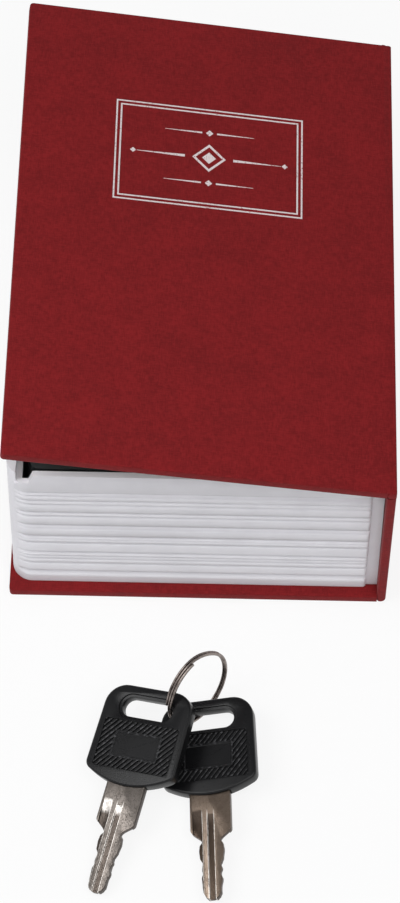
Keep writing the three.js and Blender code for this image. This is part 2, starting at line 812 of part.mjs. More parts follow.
function makeCamWasher() {
  const bore = camScrewRadius + camScrewClearance;
  const bottom = washerTopZ - camWasherThickness;
  const disc = post(lockX, 0, camWasherRadius, bottom, washerTopZ, smallRoundSteps);
  return cut(disc, post(lockX, 0, bore, bottom - cutPast, washerTopZ + cutPast, smallRoundSteps));
}

function makeCamScrew() {
  const headBottom = camScrewTopZ - camScrewHeadHeight;
  const profile = [
    [0, headBottom],
    [camScrewHeadRadius - camScrewHeadBevel, headBottom],
    [camScrewHeadRadius, headBottom + camScrewHeadBevel],
    [camScrewHeadRadius, camScrewTopZ],
    [camScrewRadius, camScrewTopZ],
    [camScrewRadius, camScrewTopZ + camScrewLength - camScrewClearance],
    [0, camScrewTopZ + camScrewLength - camScrewClearance],
  ];
  const reach = driveLength / 2;
  const half = driveWidth / 2;
  const drive = [
    block(lockX - reach, lockX + reach, -half, half, headBottom - cutPast, headBottom + driveDepth),
    block(lockX - half, lockX + half, -reach, reach, headBottom - cutPast, headBottom + driveDepth),
  ];
  return cut(turned(profile, lockX, 0, smallRoundSteps), ...drive);
}

// One stamped line of the double frame, or the recess it lies in
function foilLine(inset, spread, z0, z1) {
  const x = foilFrameWidth / 2 - inset;
  const y = foilFrameHeight / 2 - inset;
  const outer = rectangle(
    -x - spread, x + spread,
    foilFrameCentreY - y - spread, foilFrameCentreY + y + spread);
  const innerX = x - foilLineWidth - spread;
  const innerY = y - foilLineWidth - spread;
  outer.holes.push(rectangle(-innerX, innerX, foilFrameCentreY - innerY, foilFrameCentreY + innerY));
  return plate(outer, z0, z1);
}

function makeFrontCover() {
  const innerZ = bookThickness - coverThickness;
  const boardTop = bookThickness - clothThickness - glueGap;
  const boardBottom = boardTop - boardThickness;
  const recessZ = bookThickness - foilRecess;
  const foilBottom = recessZ + (foilRecess - foilThickness) / 2;
  const cloth = cut(
    clothWrap(frontEdgeX, innerZ, bookThickness),
    foilLine(0, glueGap, recessZ, bookThickness + cutPast),
    foilLine(foilLineSpacing, glueGap, recessZ, bookThickness + cutPast));
  const outerLine = foilLine(0, 0, foilBottom, foilBottom + foilThickness);
  const innerLine = foilLine(foilLineSpacing, 0, foilBottom, foilBottom + foilThickness);
  const paperTop = boardBottom - glueGap;
  return [
    part('front_cloth', cloth, finishes.cloth),
    part('front_board', boardIn(frontEdgeX, boardBottom, boardTop), finishes.board),
    part('front_endpaper', paperIn(frontEdgeX, paperTop - paperThickness, paperTop), finishes.paper),
    part('foil_frame_outer', outerLine, finishes.foil),
    part('foil_frame_inner', innerLine, finishes.foil),
  ];
}

// Outline of a key's plastic head, its top edge at y = 0 and its belly at y = -headLength
function headOutline() {
  const top = headTopWidth / 2;
  const side = headWidth / 2;
  const radius = headCornerRadius;
  const belly = headLength - headSideLength;
  const shape = new THREE.Shape();
  shape.moveTo(-side, -headSideLength);
  shape.quadraticCurveTo(0, -headLength - belly, side, -headSideLength);
  shape.lineTo(top, -radius);
  shape.absarc(top - radius, -radius, radius, 0, Math.PI / 2);
  shape.lineTo(-top + radius, 0);
  shape.absarc(-top + radius, -radius, radius, Math.PI / 2, Math.PI);
  return shape;
}

// The long hole for the ring, widened by a margin
function slotOutline(margin) {
  const radius = slotHeight / 2 + margin;
  const reach = (slotWidth - slotHeight) / 2;
  const y = -slotTopBar - slotHeight / 2;
  const shape = new THREE.Shape();
  shape.moveTo(-reach, y - radius);
  shape.lineTo(reach, y - radius);
  shape.absarc(reach, y, radius, -Math.PI / 2, Math.PI / 2);
  shape.lineTo(-reach, y + radius);
  shape.absarc(-reach, y, radius, Math.PI / 2, 1.5 * Math.PI);
  return shape;
}

// The sunk border round the raised panel on a face of the head
function panelBorderCut(z0, z1) {
  const x = panelWidth / 2;
  const y1 = -slotTopBar - slotHeight - slotStepWidth;
  const y0 = y1 - panelHeight;
  const outline = rectangle(-x, x, y0, y1);
  outline.holes.push(rectangle(-x + panelBorder, x - panelBorder, y0 + panelBorder, y1 - panelBorder));
  return plate(outline, z0, z1);
}

function makeKeyHead() {
  const half = headThickness / 2;
  const blank = new THREE.ExtrudeGeometry(headOutline(), {
    depth: headThickness - 2 * headEdgeBevel,
    bevelEnabled: true,
    bevelThickness: headEdgeBevel,
    bevelSize: headEdgeBevel,
    bevelOffset: -headEdgeBevel,
    bevelSegments: 1,
    curveSegments: arcSteps,
  }).translate(0, 0, -half + headEdgeBevel);
  const halfPocket = shoulderWidth / 2 + tangClearance;
  const pocketZ = bladeThickness / 2 + tangClearance;
  const pocketTop = -headLength + tangLength + tangClearance;
  return cut(
    blank,
    plate(slotOutline(0), -headThickness, headThickness),
    plate(slotOutline(slotStepWidth), half - slotStepDepth, headThickness),
    plate(slotOutline(slotStepWidth), -headThickness, -half + slotStepDepth),
    panelBorderCut(half - panelDepth, headThickness),
    panelBorderCut(-headThickness, -half + panelDepth),
    block(-halfPocket, halfPocket, -keyLength, pocketTop, -pocketZ, pocketZ));
}

// One edge of the blade from the tang to the tip, as half widths and places
function bladeEdge(cuts) {
  const shoulder = shoulderWidth / 2;
  const start = -headLength - shoulderLength;
  const half = bladeWidth / 2;
  const points = [[shoulder, -headLength + tangLength], [shoulder, start]];
  for (const { share, depth } of cuts) {
    points.push([half - depth, start - share * bladeLength]);
  }
  points.push([bladeTipWidth / 2 + bladeTipLength / 2, -keyLength + bladeTipLength / 2]);
  points.push([bladeTipWidth / 2, -keyLength]);
  return points;
}

function makeKeyBlade() {
  const right = bladeEdge(rightCuts);
  const left = bladeEdge(leftCuts).map(([x, y]) => [-x, y]).reverse();
  const outline = new THREE.Shape([...left, ...right].map(([x, y]) => new THREE.Vector2(x, y)));
  const half = bladeThickness / 2;
  const halfGroove = bladeGrooveWidth / 2;
  const grooveStart = -headLength - shoulderLength / 2;
  const grooves = [-1, 1].map((side) => {
    const floor = side * (half - bladeGrooveDepth);
    const above = side * bladeThickness;
    return block(
      -halfGroove, halfGroove,
      -keyLength - cutPast, grooveStart,
      Math.min(floor, above), Math.max(floor, above));
  });
  return cut(plate(outline, -half, half), ...grooves);
}

function placed(place, meshes) {
  const group = new THREE.Group();
  const turn = THREE.MathUtils.degToRad;
  group.position.set(place.x, place.y, place.z);
  group.rotation.set(turn(place.pitch), turn(place.roll), turn(place.turn), 'ZYX');
  group.add(...meshes);
  return group;
}

function makeKey(name, place) {
  return placed(place, [
    part(`${name}_head`, makeKeyHead(), finishes.headPlastic),
    part(`${name}_blade`, makeKeyBlade(), finishes.nickel),
  ]);
}

// Height of the ring's wire at a step: upper coil, a short crossover, lower coil
function ringLevel(step) {
  const lift = (ringWireHeight + ringCoilGap) / 2;
  const start = ringStepsPerTurn - ringCrossoverSteps;
  const share = Math.min(Math.max((step - start) / ringCrossoverSteps, 0), 1);
  return lift * Math.cos(Math.PI * share);
}

// Radial and upright offsets of the flat wire's section, its outer edges broken
function ringSection() {
  const r = ringWireWidth / 2;
  const h = ringWireHeight / 2;
  const offsets = [[-r, -h], [r / 2, -h], [r, -h / 2], [r, h / 2], [r / 2, h], [-r, h]];
  return offsets.map(([x, y]) => new THREE.Vector2(x, y));
}

function ringRings() {
  const radius = ringOuterRadius - ringWireWidth / 2;
  const steps = 2 * ringStepsPerTurn - ringCrossoverSteps;
  const rings = [];
  for (let step = 0; step <= steps; step += 1) {
    const angle = (-2 * Math.PI * step) / ringStepsPerTurn;
    const level = ringLevel(step);
    rings.push(ringSection().map((offset) => new THREE.Vector3(
      (radius + offset.x) * Math.cos(angle), (radius + offset.x) * Math.sin(angle), level + offset.y)));
  }
  return rings;
}

// Least distance between the wire and the coil beside it, measured on the section points
function leastCoilGap(rings) {
  let least = Infinity;
  rings.forEach((ring, index) => {
    for (const other of rings.slice(index + ringStepsPerTurn / 2)) {
      for (const point of ring) {
        for (const neighbour of other) {
          least = Math.min(least, point.distanceTo(neighbour));
        }
      }
    }
  });
  return least;
}

function makeSplitRing() {
  const rings = ringRings();
  console.log(`split ring: least gap between its coils ${leastCoilGap(rings).toFixed(2)} mm`);
  const group = new THREE.Group();
  const turn = THREE.MathUtils.degToRad;
  group.position.set(ringPlace.x, ringPlace.y, ringPlace.z);
  group.rotation.set(0, turn(90 - ringPlace.tilt), turn(ringPlace.heading), 'ZYX');
  const wire = part('split_ring', loft(rings, ringSection()), finishes.nickel);
  wire.rotation.z = turn(ringPlace.spin);
  group.add(wire);
  return group;
}

// The front cover is modelled closed, then turned open about the fold
function openedCover() {
  const pieces = new THREE.Group();
  pieces.position.set(-foldX, 0, -foldZ);
  pieces.add(...makeFrontCover());
  const hinged = new THREE.Group();
  hinged.position.set(foldX, 0, foldZ);
  hinged.rotation.y = THREE.MathUtils.degToRad(coverOpenDegrees);
  hinged.add(pieces);
  return hinged;
}

const safe = new THREE.Group();
safe.add(...makeBackCover());
safe.add(...makeSpine());
safe.add(makePageBlock());
safe.add(part('box_tray', makeTray(), finishes.blackSteel));
safe.add(...makeRivets());
safe.add(part('hinge_leaf_tray', makeTrayLeaf(), finishes.blackSteel));
safe.add(part('hinge_leaf_door', makeDoorLeaf(), finishes.blackSteel));
safe.add(part('hinge_pin', makeHingePin(), finishes.brightSteel));
safe.add(part('steel_door', makeDoorPanel(), finishes.blackSteel));
safe.add(part('lock_housing', makeLockHousing(), finishes.nickel));
safe.add(part('lock_nut', makeLockNut(), finishes.brightSteel));
safe.add(part('lock_plug', makePlug(), finishes.nickel));
safe.add(...makeWafers());
safe.add(part('lock_cam', makeCam(), finishes.brightSteel));
safe.add(part('cam_washer', makeCamWasher(), finishes.brightSteel));
safe.add(part('cam_screw', makeCamScrew(), finishes.brightSteel));
const foldBead = rod(foldX, foldZ, beadRadius, -halfLength, halfLength, smallRoundSteps);
safe.add(part('hinge_cloth', foldBead, finishes.cloth));
safe.add(openedCover());
safe.add(makeKey('key_left', leftKeyPlace));
safe.add(makeKey('key_right', rightKeyPlace));
safe.add(makeSplitRing());

export default safe;
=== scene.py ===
"""Looks of a small book-shaped safe and its two keys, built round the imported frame.

Sizes in the classes are millimetres in the frame's axes: +Z up, the spine at +X, the keys towards -Y.
They become metres where a mesh is made or moved.
"""

from __future__ import annotations

import json
import logging
import math
from dataclasses import dataclass
from enum import Enum
from typing import Any, Callable, Sequence

import bmesh
import bpy
from mathutils import Matrix, Vector

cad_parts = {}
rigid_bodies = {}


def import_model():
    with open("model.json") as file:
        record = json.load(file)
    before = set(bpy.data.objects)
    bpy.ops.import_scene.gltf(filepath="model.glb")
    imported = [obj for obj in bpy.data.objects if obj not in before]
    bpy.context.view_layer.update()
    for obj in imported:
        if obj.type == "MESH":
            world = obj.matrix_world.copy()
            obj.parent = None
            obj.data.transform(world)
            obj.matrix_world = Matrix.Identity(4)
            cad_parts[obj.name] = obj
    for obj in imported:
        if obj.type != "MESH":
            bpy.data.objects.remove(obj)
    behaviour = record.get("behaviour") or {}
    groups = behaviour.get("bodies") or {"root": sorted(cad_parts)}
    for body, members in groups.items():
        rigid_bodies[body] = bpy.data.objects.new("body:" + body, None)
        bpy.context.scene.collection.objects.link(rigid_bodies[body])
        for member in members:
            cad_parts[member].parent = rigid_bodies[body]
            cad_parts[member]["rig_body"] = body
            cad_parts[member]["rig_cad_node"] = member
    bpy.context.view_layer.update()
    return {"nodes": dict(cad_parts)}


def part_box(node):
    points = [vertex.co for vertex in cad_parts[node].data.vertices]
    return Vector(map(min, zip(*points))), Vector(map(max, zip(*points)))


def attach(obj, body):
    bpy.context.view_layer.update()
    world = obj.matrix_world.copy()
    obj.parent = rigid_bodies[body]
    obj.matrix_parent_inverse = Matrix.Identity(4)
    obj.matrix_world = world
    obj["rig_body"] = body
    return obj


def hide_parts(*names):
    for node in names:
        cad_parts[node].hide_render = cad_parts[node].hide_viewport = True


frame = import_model()

MM = 0.001
NEAR = 0.02  # places closer than this are taken as the same
PAST = 1.0  # how far a cutter reaches past what it cuts
CLOTH = 0.25  # thickness of the book cloth
TURN_IN = 3.2  # how far the cloth is turned in over a board's edge
SMOOTH = 35.0  # edges below this angle are shaded smooth
log = logging.getLogger("book_safe")

Triple = tuple[float, float, float]
Colour = tuple[float, float, float]
Test = Callable[..., bool]


# --------------------------------------------------------------------------------------------
# Materials
# --------------------------------------------------------------------------------------------


class Value:
    """A socket of a material's nodes that Python's arithmetic signs work on."""

    def __init__(self, paint: Paint, socket: bpy.types.NodeSocket) -> None:
        """Keeps the socket with the paint whose node tree it is in."""
        self.paint = paint
        self.socket = socket

    def _maths(self, operation: str, *values: Any) -> Value:
        """Adds one Math node."""
        return self.paint.node("Math", {"operation": operation}, dict(enumerate(values)))

    def __add__(self, other: Any) -> Value:
        """Sum."""
        return self._maths("ADD", self, other)

    __radd__ = __add__

    def __sub__(self, other: Any) -> Value:
        """Difference."""
        return self._maths("SUBTRACT", self, other)

    def __rsub__(self, other: Any) -> Value:
        """Difference the other way round."""
        return self._maths("SUBTRACT", other, self)

    def __mul__(self, other: Any) -> Value:
        """Product."""
        return self._maths("MULTIPLY", self, other)

    __rmul__ = __mul__

    def __truediv__(self, other: Any) -> Value:
        """Quotient."""
        return self._maths("DIVIDE", self, other)

    def __abs__(self) -> Value:
        """Size without sign."""
        return self._maths("ABSOLUTE", self)

    def over(self, limit: float) -> Value:
        """1 where the value is above a limit, else 0."""
        return self._maths("GREATER_THAN", self, limit)

    def most(self, other: Any) -> Value:
        """The larger of two values."""
        return self._maths("MAXIMUM", self, other)

    def between(self, low: float, high: float) -> Value:
        """0 below low, 1 above high and a smooth step between."""
        settings = {"interpolation_type": "SMOOTHSTEP"}
        return self.paint.node("MapRange", settings, {0: self, 1: low, 2: high, 3: 0.0, 4: 1.0})


class Paint:
    """A material being mixed, with its node tree and the shader that ends it."""

    def __init__(self, name: str) -> None:
        """Starts a material of that name with one Principled shader.

        Args:
            name: the material's name.
        """
        self.material = bpy.data.materials.new(name)
        self.material.use_nodes = True
        self.tree = self.material.node_tree
        self.shader = self.tree.nodes["Principled BSDF"]

    def node(self, kind: str, settings: dict[str, Any], inputs: dict[Any, Any], output: Any = 0) -> Value:
        """Adds any node.

        Args:
            kind: the node's type without its ShaderNode prefix.
            settings: what is set on the node itself first, such as a Math node's operation.
            inputs: a number, colour or Value for each input that isn't left at its default.
            output: which output is returned.

        Returns:
            The output as a Value.
        """
        made = self.tree.nodes.new("ShaderNode" + kind)
        for key, setting in settings.items():
            setattr(made, key, setting)
        for key, value in inputs.items():
            self._feed(made.inputs[key], value)
        return Value(self, made.outputs[output])

    def _feed(self, socket: bpy.types.NodeSocket, value: Any) -> None:
        """Links a Value to a socket, or sets the socket's own number or colour.

        Args:
            socket: the input.
            value: a Value, a number, a colour or a vector.
        """
        if isinstance(value, Value):
            self.tree.links.new(value.socket, socket)
        elif isinstance(value, tuple) and socket.type == "RGBA":
            socket.default_value = (*value, 1.0)
        else:
            socket.default_value = value

    def place(self, scale: Triple = (1, 1, 1), turn: Triple = (0, 0, 0)) -> Value:
        """Object coordinates, turned by degrees and then scaled, as one vector.

        Args:
            scale: what each axis is multiplied by.
            turn: degrees about each axis.

        Returns:
            The vector.
        """
        own = self.node("TexCoord", {}, {}, "Object")
        angles = tuple(math.radians(a) for a in turn)
        turned = self.node("Mapping", {}, {"Vector": own, "Rotation": angles})
        return self.node("Mapping", {}, {"Vector": turned, "Scale": scale})

    def local(self, at: Place) -> list[Value]:
        """X, Y and Z in millimetres in the own axes of a piece that lies at a place.

        Args:
            at: where the piece lies.

        Returns:
            The three values.
        """
        laid = {
            "Vector": self.node("TexCoord", {}, {}, "Object"),
            "Location": tuple(c * MM for c in (at.x, at.y, at.z)),
            "Rotation": tuple(math.radians(angle) for angle in (at.pitch, at.roll, at.turn)),
        }
        own = self.node("Mapping", {"vector_type": "TEXTURE"}, laid)
        parts = self.node("SeparateXYZ", {}, {0: own}).socket.node.outputs
        return [Value(self, part) / MM for part in parts]

    def noise(
        self, size: float, detail: float = 3.0, stretch: Triple = (1, 1, 1), turn: Triple = (0, 0, 0)
    ) -> Value:
        """Noise about a middle of 0.5.

        Args:
            size: how wide one patch is, in millimetres.
            detail: levels of finer noise in it.
            stretch: how many times longer a patch is along each axis.
            turn: degrees that the axes are turned by first.

        Returns:
            The noise from about 0.2 to 0.8.
        """
        scale = tuple(1.0 / (size * MM * s) for s in stretch)
        inputs = {"Vector": self.place(scale, turn), "Scale": 1.0, "Detail": detail, "Roughness": 0.55}
        return self.node("TexNoise", {}, inputs)

    def mix(self, share: Any, first: Any, second: Any) -> Value:
        """Goes from the first colour to the second as the share goes from 0 to 1."""
        return self.node("Mix", {"data_type": "RGBA"}, {0: share, 6: first, 7: second}, 2)

    def bump(self, height: Value, depth: float) -> Value:
        """A normal from a height of 0 to 1 that is that many millimetres deep."""
        return self.node("Bump", {}, {"Height": height, "Distance": depth * MM, "Strength": 1.0})

    def end(self, **sockets: Any) -> bpy.types.Material:
        """Feeds the shader's sockets, named with _ for a space, and returns the material.

        Args:
            sockets: a number, colour or Value for each socket.

        Returns:
            The finished material.
        """
        for key, value in sockets.items():
            self._feed(self.shader.inputs[key.replace("_", " ")], value)
        return self.material


@dataclass(frozen=True)
class BookCloth:
    """Fine book cloth: short threads both ways, soft blotches and a light sheen."""

    name: str
    dark: Colour = (0.148, 0.0045, 0.0060)
    light: Colour = (0.225, 0.0098, 0.0118)
    tilt: float = 0.0
    thread: float = 0.22
    thread_length: float = 6.0
    blotch: float = 7.0
    patch: float = 1.3
    thread_share: float = 0.6
    blotch_share: float = 0.4
    patch_share: float = 0.35
    tone_middle: float = 0.475
    tones: tuple[float, float] = (0.27, 0.73)
    thread_height: float = 0.7
    patch_height: float = 0.3
    relief: float = 0.07
    rough: float = 0.62
    rough_blotch: float = 0.25
    shine: float = 0.18
    sheen: float = 0.16
    sheen_rough: float = 0.35
    sheen_tint: Colour = (1.0, 0.55, 0.55)

    def material(self) -> bpy.types.Material:
        """Mixes the cloth, its threads following the board that it covers.

        Returns:
            The cloth's material.
        """
        paint = Paint(self.name)
        turn = (0.0, -self.tilt, 0.0)
        warp = paint.noise(self.thread, 2.0, (self.thread_length, 1, 1), turn)
        weft = paint.noise(self.thread, 2.0, (1, self.thread_length, 1), turn)
        blotch = paint.noise(self.blotch, 4.0)
        patch = paint.noise(self.patch, 3.0)
        weave = warp * self.thread_share + weft * self.thread_share
        tone = weave + blotch * self.blotch_share + patch * self.patch_share - self.tone_middle
        height = warp.most(weft) * self.thread_height + patch * self.patch_height
        return paint.end(
            Base_Color=paint.mix(tone.between(*self.tones), self.dark, self.light),
            Roughness=self.rough + blotch * self.rough_blotch,
            Normal=paint.bump(height, self.relief),
            Specular_IOR_Level=self.shine,
            Sheen_Weight=self.sheen,
            Sheen_Roughness=self.sheen_rough,
            Sheen_Tint=self.sheen_tint,
        )


@dataclass(frozen=True)
class Paper:
    """Paper or grey board with its fibres and a faint yellowing."""

    name: str
    colour: Colour
    fleck: Colour
    grain: float = 0.25
    fibre_length: float = 3.0
    fibre_turn: float = 25.0
    cloud: float = 14.0
    fibre_share: float = 0.8
    cloud_share: float = 0.7
    fleck_start: float = 0.75
    fleck_run: float = 0.6
    relief: float = 0.03
    rough: float = 0.8
    rough_cloud: float = 0.15
    shine: float = 0.2

    def material(self) -> bpy.types.Material:
        """Mixes the sheet.

        Returns:
            The paper's material.
        """
        paint = Paint(self.name)
        fibre = paint.noise(self.grain, 4.0, (self.fibre_length, 1, 1), (0, 0, self.fibre_turn))
        cloud = paint.noise(self.cloud, 3.0)
        flecks = fibre * self.fibre_share + cloud * self.cloud_share - self.fleck_start
        return paint.end(
            Base_Color=paint.mix(flecks.between(0.0, self.fleck_run), self.colour, self.fleck),
            Roughness=self.rough + cloud * self.rough_cloud,
            Normal=paint.bump(fibre, self.relief),
            Specular_IOR_Level=self.shine,
        )


@dataclass(frozen=True)
class Foil:
    """Silver foil stamped in cloth: bright, with the cloth's grain and small breaks."""

    name: str = "stamped_foil"
    colour: Colour = (0.93, 0.83, 0.83)
    worn: Colour = (0.40, 0.16, 0.16)
    grain: float = 0.28
    cloud: float = 3.0
    cloud_share: float = 0.35
    breaks: tuple[float, float] = (0.74, 0.88)
    metal: float = 0.6
    metal_lost: float = 0.4
    rough: float = 0.38
    rough_grain: float = 0.2
    relief: float = 0.02

    def material(self) -> bpy.types.Material:
        """Mixes the foil.

        Returns:
            The foil's material.
        """
        paint = Paint(self.name)
        grain = paint.noise(self.grain, 3.0)
        cloud = paint.noise(self.cloud, 2.0)
        broken = (grain + cloud * self.cloud_share).between(*self.breaks)
        return paint.end(
            Base_Color=paint.mix(broken, self.colour, self.worn),
            Metallic=self.metal - broken * self.metal_lost,
            Roughness=self.rough + grain * self.rough_grain,
            Normal=paint.bump(grain, self.relief),
        )


@dataclass(frozen=True)
class MouldedPlastic:
    """Moulded plastic: a faint grain from the mould, slow changes of tone and light scuffs."""

    name: str
    colour: Colour
    shade: Colour
    roughness: float
    shine: float
    grain: float = 0.2
    scuff: float = 0.0
    cloud: float = 9.0
    scratch: float = 0.5
    scratch_length: float = 5.0
    scratch_turn: Triple = (20, 0, 35)
    scratches: tuple[float, float] = (0.60, 0.78)
    tones: tuple[float, float] = (0.3, 0.7)
    relief: float = 0.012
    rough_cloud: float = 0.1
    rough_grain: float = 0.08
    rough_middle: float = 0.07
    pale: float = 2.2
    pale_least: float = 0.01

    def _surface(self, paint: Paint) -> tuple[Value, Value, dict[str, Any]]:
        """What every such plastic has.

        Args:
            paint: the material being mixed.

        Returns:
            Its colour, where it is scuffed, and the sockets that don't depend on more than that.
        """
        cloud = paint.noise(self.cloud, 3.0)
        grain = paint.noise(self.grain, 2.0)
        scratch = paint.noise(self.scratch, 4.0, (self.scratch_length, 1, 1), self.scratch_turn)
        tone = paint.mix(cloud.between(*self.tones), self.shade, self.colour)
        rough = self.roughness + cloud * self.rough_cloud + grain * self.rough_grain
        shared = {
            "Roughness": rough - self.rough_middle,
            "Normal": paint.bump(grain, self.relief),
            "Specular_IOR_Level": self.shine,
        }
        return tone, scratch.between(*self.scratches) * self.scuff, shared

    def material(self) -> bpy.types.Material:
        """Mixes the plastic.

        Returns:
            The plastic's material.
        """
        paint = Paint(self.name)
        tone, scuffed, shared = self._surface(paint)
        pale = tuple(min(1.0, c * self.pale + self.pale_least) for c in self.colour)
        return paint.end(Base_Color=paint.mix(scuffed, tone, pale), **shared)


@dataclass(frozen=True)
class RidgedHead(MouldedPlastic):
    """A key head's plastic, its ridge tops painted pale in places: painted highlights that also stand for
    wear.
    """

    at: Place | None = None
    # Colour of the real scuffs and of the painted highlights on the ridge tops.
    rubbed_and_highlit: Colour = (0.075, 0.075, 0.080)
    panel_half: float = 8.3
    panel_down: float = 12.8
    panel_reach: float = 5.15
    fade: float = 0.1
    tops: tuple[float, float] = (1.40, 1.49)
    glint: float = 0.55
    glints: tuple[float, float] = (0.50, 0.66)
    top_glint_and_wear: float = 0.8
    scuff_wear: float = 0.35

    def material(self) -> bpy.types.Material:
        """Mixes the plastic, its ridges told apart in the key's own axes.

        Returns:
            The head's material.
        """
        paint = Paint(self.name)
        x, y, z = paint.local(self.at)
        tone, scuffed, shared = self._surface(paint)
        inside = [
            room.between(-self.fade, self.fade)
            for room in (self.panel_half - abs(x), self.panel_reach - abs(y + self.panel_down))
        ]
        # Painted highlights: pale glints on the ridge tops, also standing for wear; the scuffs mixed in
        # with them are real wear.
        top = abs(z).between(*self.tops) * (inside[0] * inside[1])
        glint = paint.noise(self.glint, 3.0).between(*self.glints)
        worn = (top * glint * self.top_glint_and_wear).most(scuffed * self.scuff_wear)
        return paint.end(Base_Color=paint.mix(worn, tone, self.rubbed_and_highlit), **shared)


@dataclass(frozen=True)
class PowderCoat:
    """Black powder coat on steel: fine orange peel and a little dust in soft patches."""

    name: str = "powder_coat"
    colour: Colour = (0.016, 0.019, 0.020)
    dust: Colour = (0.042, 0.047, 0.048)
    peel: float = 0.35
    cloud: float = 12.0
    clouds: tuple[float, float] = (0.42, 0.75)
    relief: float = 0.02
    rough: float = 0.36
    rough_peel: float = 0.12
    rough_dust: float = 0.1
    shine: float = 0.35

    def material(self) -> bpy.types.Material:
        """Mixes the coat.

        Returns:
            The coat's material.
        """
        paint = Paint(self.name)
        peel = paint.noise(self.peel, 2.0)
        cloud = paint.noise(self.cloud, 4.0)
        share = cloud.between(*self.clouds)
        return paint.end(
            Base_Color=paint.mix(share, self.colour, self.dust),
            Roughness=self.rough + peel * self.rough_peel + share * self.rough_dust,
            Normal=paint.bump(peel, self.relief),
            Specular_IOR_Level=self.shine,
        )


@dataclass(frozen=True)
class PlatedMetal:
    """Plated or bare metal with hairline scratches, tarnish and small pits."""

    name: str
    colour: Colour
    tarnish: Colour
    roughness: float = 0.28
    stain: float = 0.5
    pits: float = 0.0
    hair: Triple = (12, 1, 1)
    hairline: float = 0.09
    cloud: float = 1.6
    clouds: tuple[float, float] = (0.40, 0.72)
    speck: float = 0.22
    specks: tuple[float, float] = (0.56, 0.74)
    pit_share: float = 0.6
    pit_height: float = 0.9
    hair_height: float = 0.35
    relief: float = 0.02
    pit_relief: float = 0.03
    rough_hair: float = 0.16
    rough_stain: float = 0.12
    rough_middle: float = 0.08

    def _plate(self, paint: Paint) -> tuple[Value, dict[str, Any]]:
        """What every such metal has.

        Args:
            paint: the material being mixed.

        Returns:
            Its colour, and the sockets that don't depend on more than that.
        """
        hairline = paint.noise(self.hairline, 2.0, self.hair)
        cloud = paint.noise(self.cloud, 5.0)
        pit = paint.noise(self.speck, 3.0).between(*self.specks) * self.pits
        share = cloud.between(*self.clouds) * self.stain + pit * self.pit_share
        height = hairline * self.hair_height - pit * self.pit_height + self.pit_height
        rough = self.roughness + hairline * self.rough_hair + share * self.rough_stain
        shared = {
            "Metallic": 1.0,
            "Roughness": rough - self.rough_middle,
            "Normal": paint.bump(height, self.relief + self.pit_relief * self.pits),
        }
        return paint.mix(share, self.colour, self.tarnish), shared

    def material(self) -> bpy.types.Material:
        """Mixes the metal.

        Returns:
            The metal's material.
        """
        paint = Paint(self.name)
        colour, shared = self._plate(paint)
        return paint.end(Base_Color=colour, **shared)


@dataclass(frozen=True)
class MilledKey(PlatedMetal):
    """A key blank's plating, with painted shade and tarnish in the milled grooves, patches of a facet
    colour on their run-outs (a painted reflection where it is light), and painted highlights and rubbing
    along the groove edges.
    """

    at: Place | None = None
    # Groove floors: painted shade, also standing for tarnish.
    floor: Colour = (0.1, 0.1, 0.1)
    # Run-out facets: a light facet colour is a painted reflection of the lamps.
    facet: Colour = (0.9, 0.9, 0.9)
    # Groove edges: painted highlights, also standing for rubbed plating.
    edge: Colour = (0.80, 0.76, 0.72)
    sunk_z: tuple[float, float] = (0.70, 0.78)
    facet_down: float = 26.9
    facet_half: float = 3.95
    facet_fade: tuple[float, float] = (-0.6, 1.0)
    facet_patch: float = 1.2
    facet_share: tuple[float, float] = (0.12, 0.5)
    milled_down: float = 24.0
    milled_fade: float = 1.5
    lines: Triple = (-1.75, -0.66, 0.70)
    line_fade: tuple[float, float] = (0.05, 0.13)
    rub_and_highlight: float = 0.75
    rub_and_highlight_patch: float = 0.8
    rub_and_highlight_share: tuple[float, float] = (0.22, 0.5)

    def material(self) -> bpy.types.Material:
        """Mixes the metal, its cuts told apart in the key's own axes.

        Returns:
            The blade's material.
        """
        paint = Paint(self.name)
        plate, shared = self._plate(paint)
        x, y, z = paint.local(self.at)
        # Painted shade in the groove floors, also standing for tarnish.
        sunk = 1 - abs(z).between(*self.sunk_z)
        # Painted reflection on the run-outs, where the facet colour is light.
        run_out = (y + self.facet_down).between(*self.facet_fade) * (1 - abs(x).over(self.facet_half))
        facet_patches = run_out * paint.noise(self.facet_patch, 3.0).between(*self.facet_share)
        colour = paint.mix(sunk, plate, paint.mix(facet_patches, self.floor, self.facet))
        # Painted highlights along the groove edges, also standing for rubbed plating.
        near = [1 - abs(x - line).between(*self.line_fade) for line in self.lines]
        lines = near[0].most(near[1]).most(near[2])
        milled = lines * (0 - y - self.milled_down).between(0.0, self.milled_fade)
        rubbed_and_highlit = milled * paint.noise(self.rub_and_highlight_patch, 2.0).between(*self.rub_and_highlight_share)
        return paint.end(Base_Color=paint.mix(rubbed_and_highlit * self.rub_and_highlight, colour, self.edge), **shared)


# --------------------------------------------------------------------------------------------
# Modelling
# --------------------------------------------------------------------------------------------


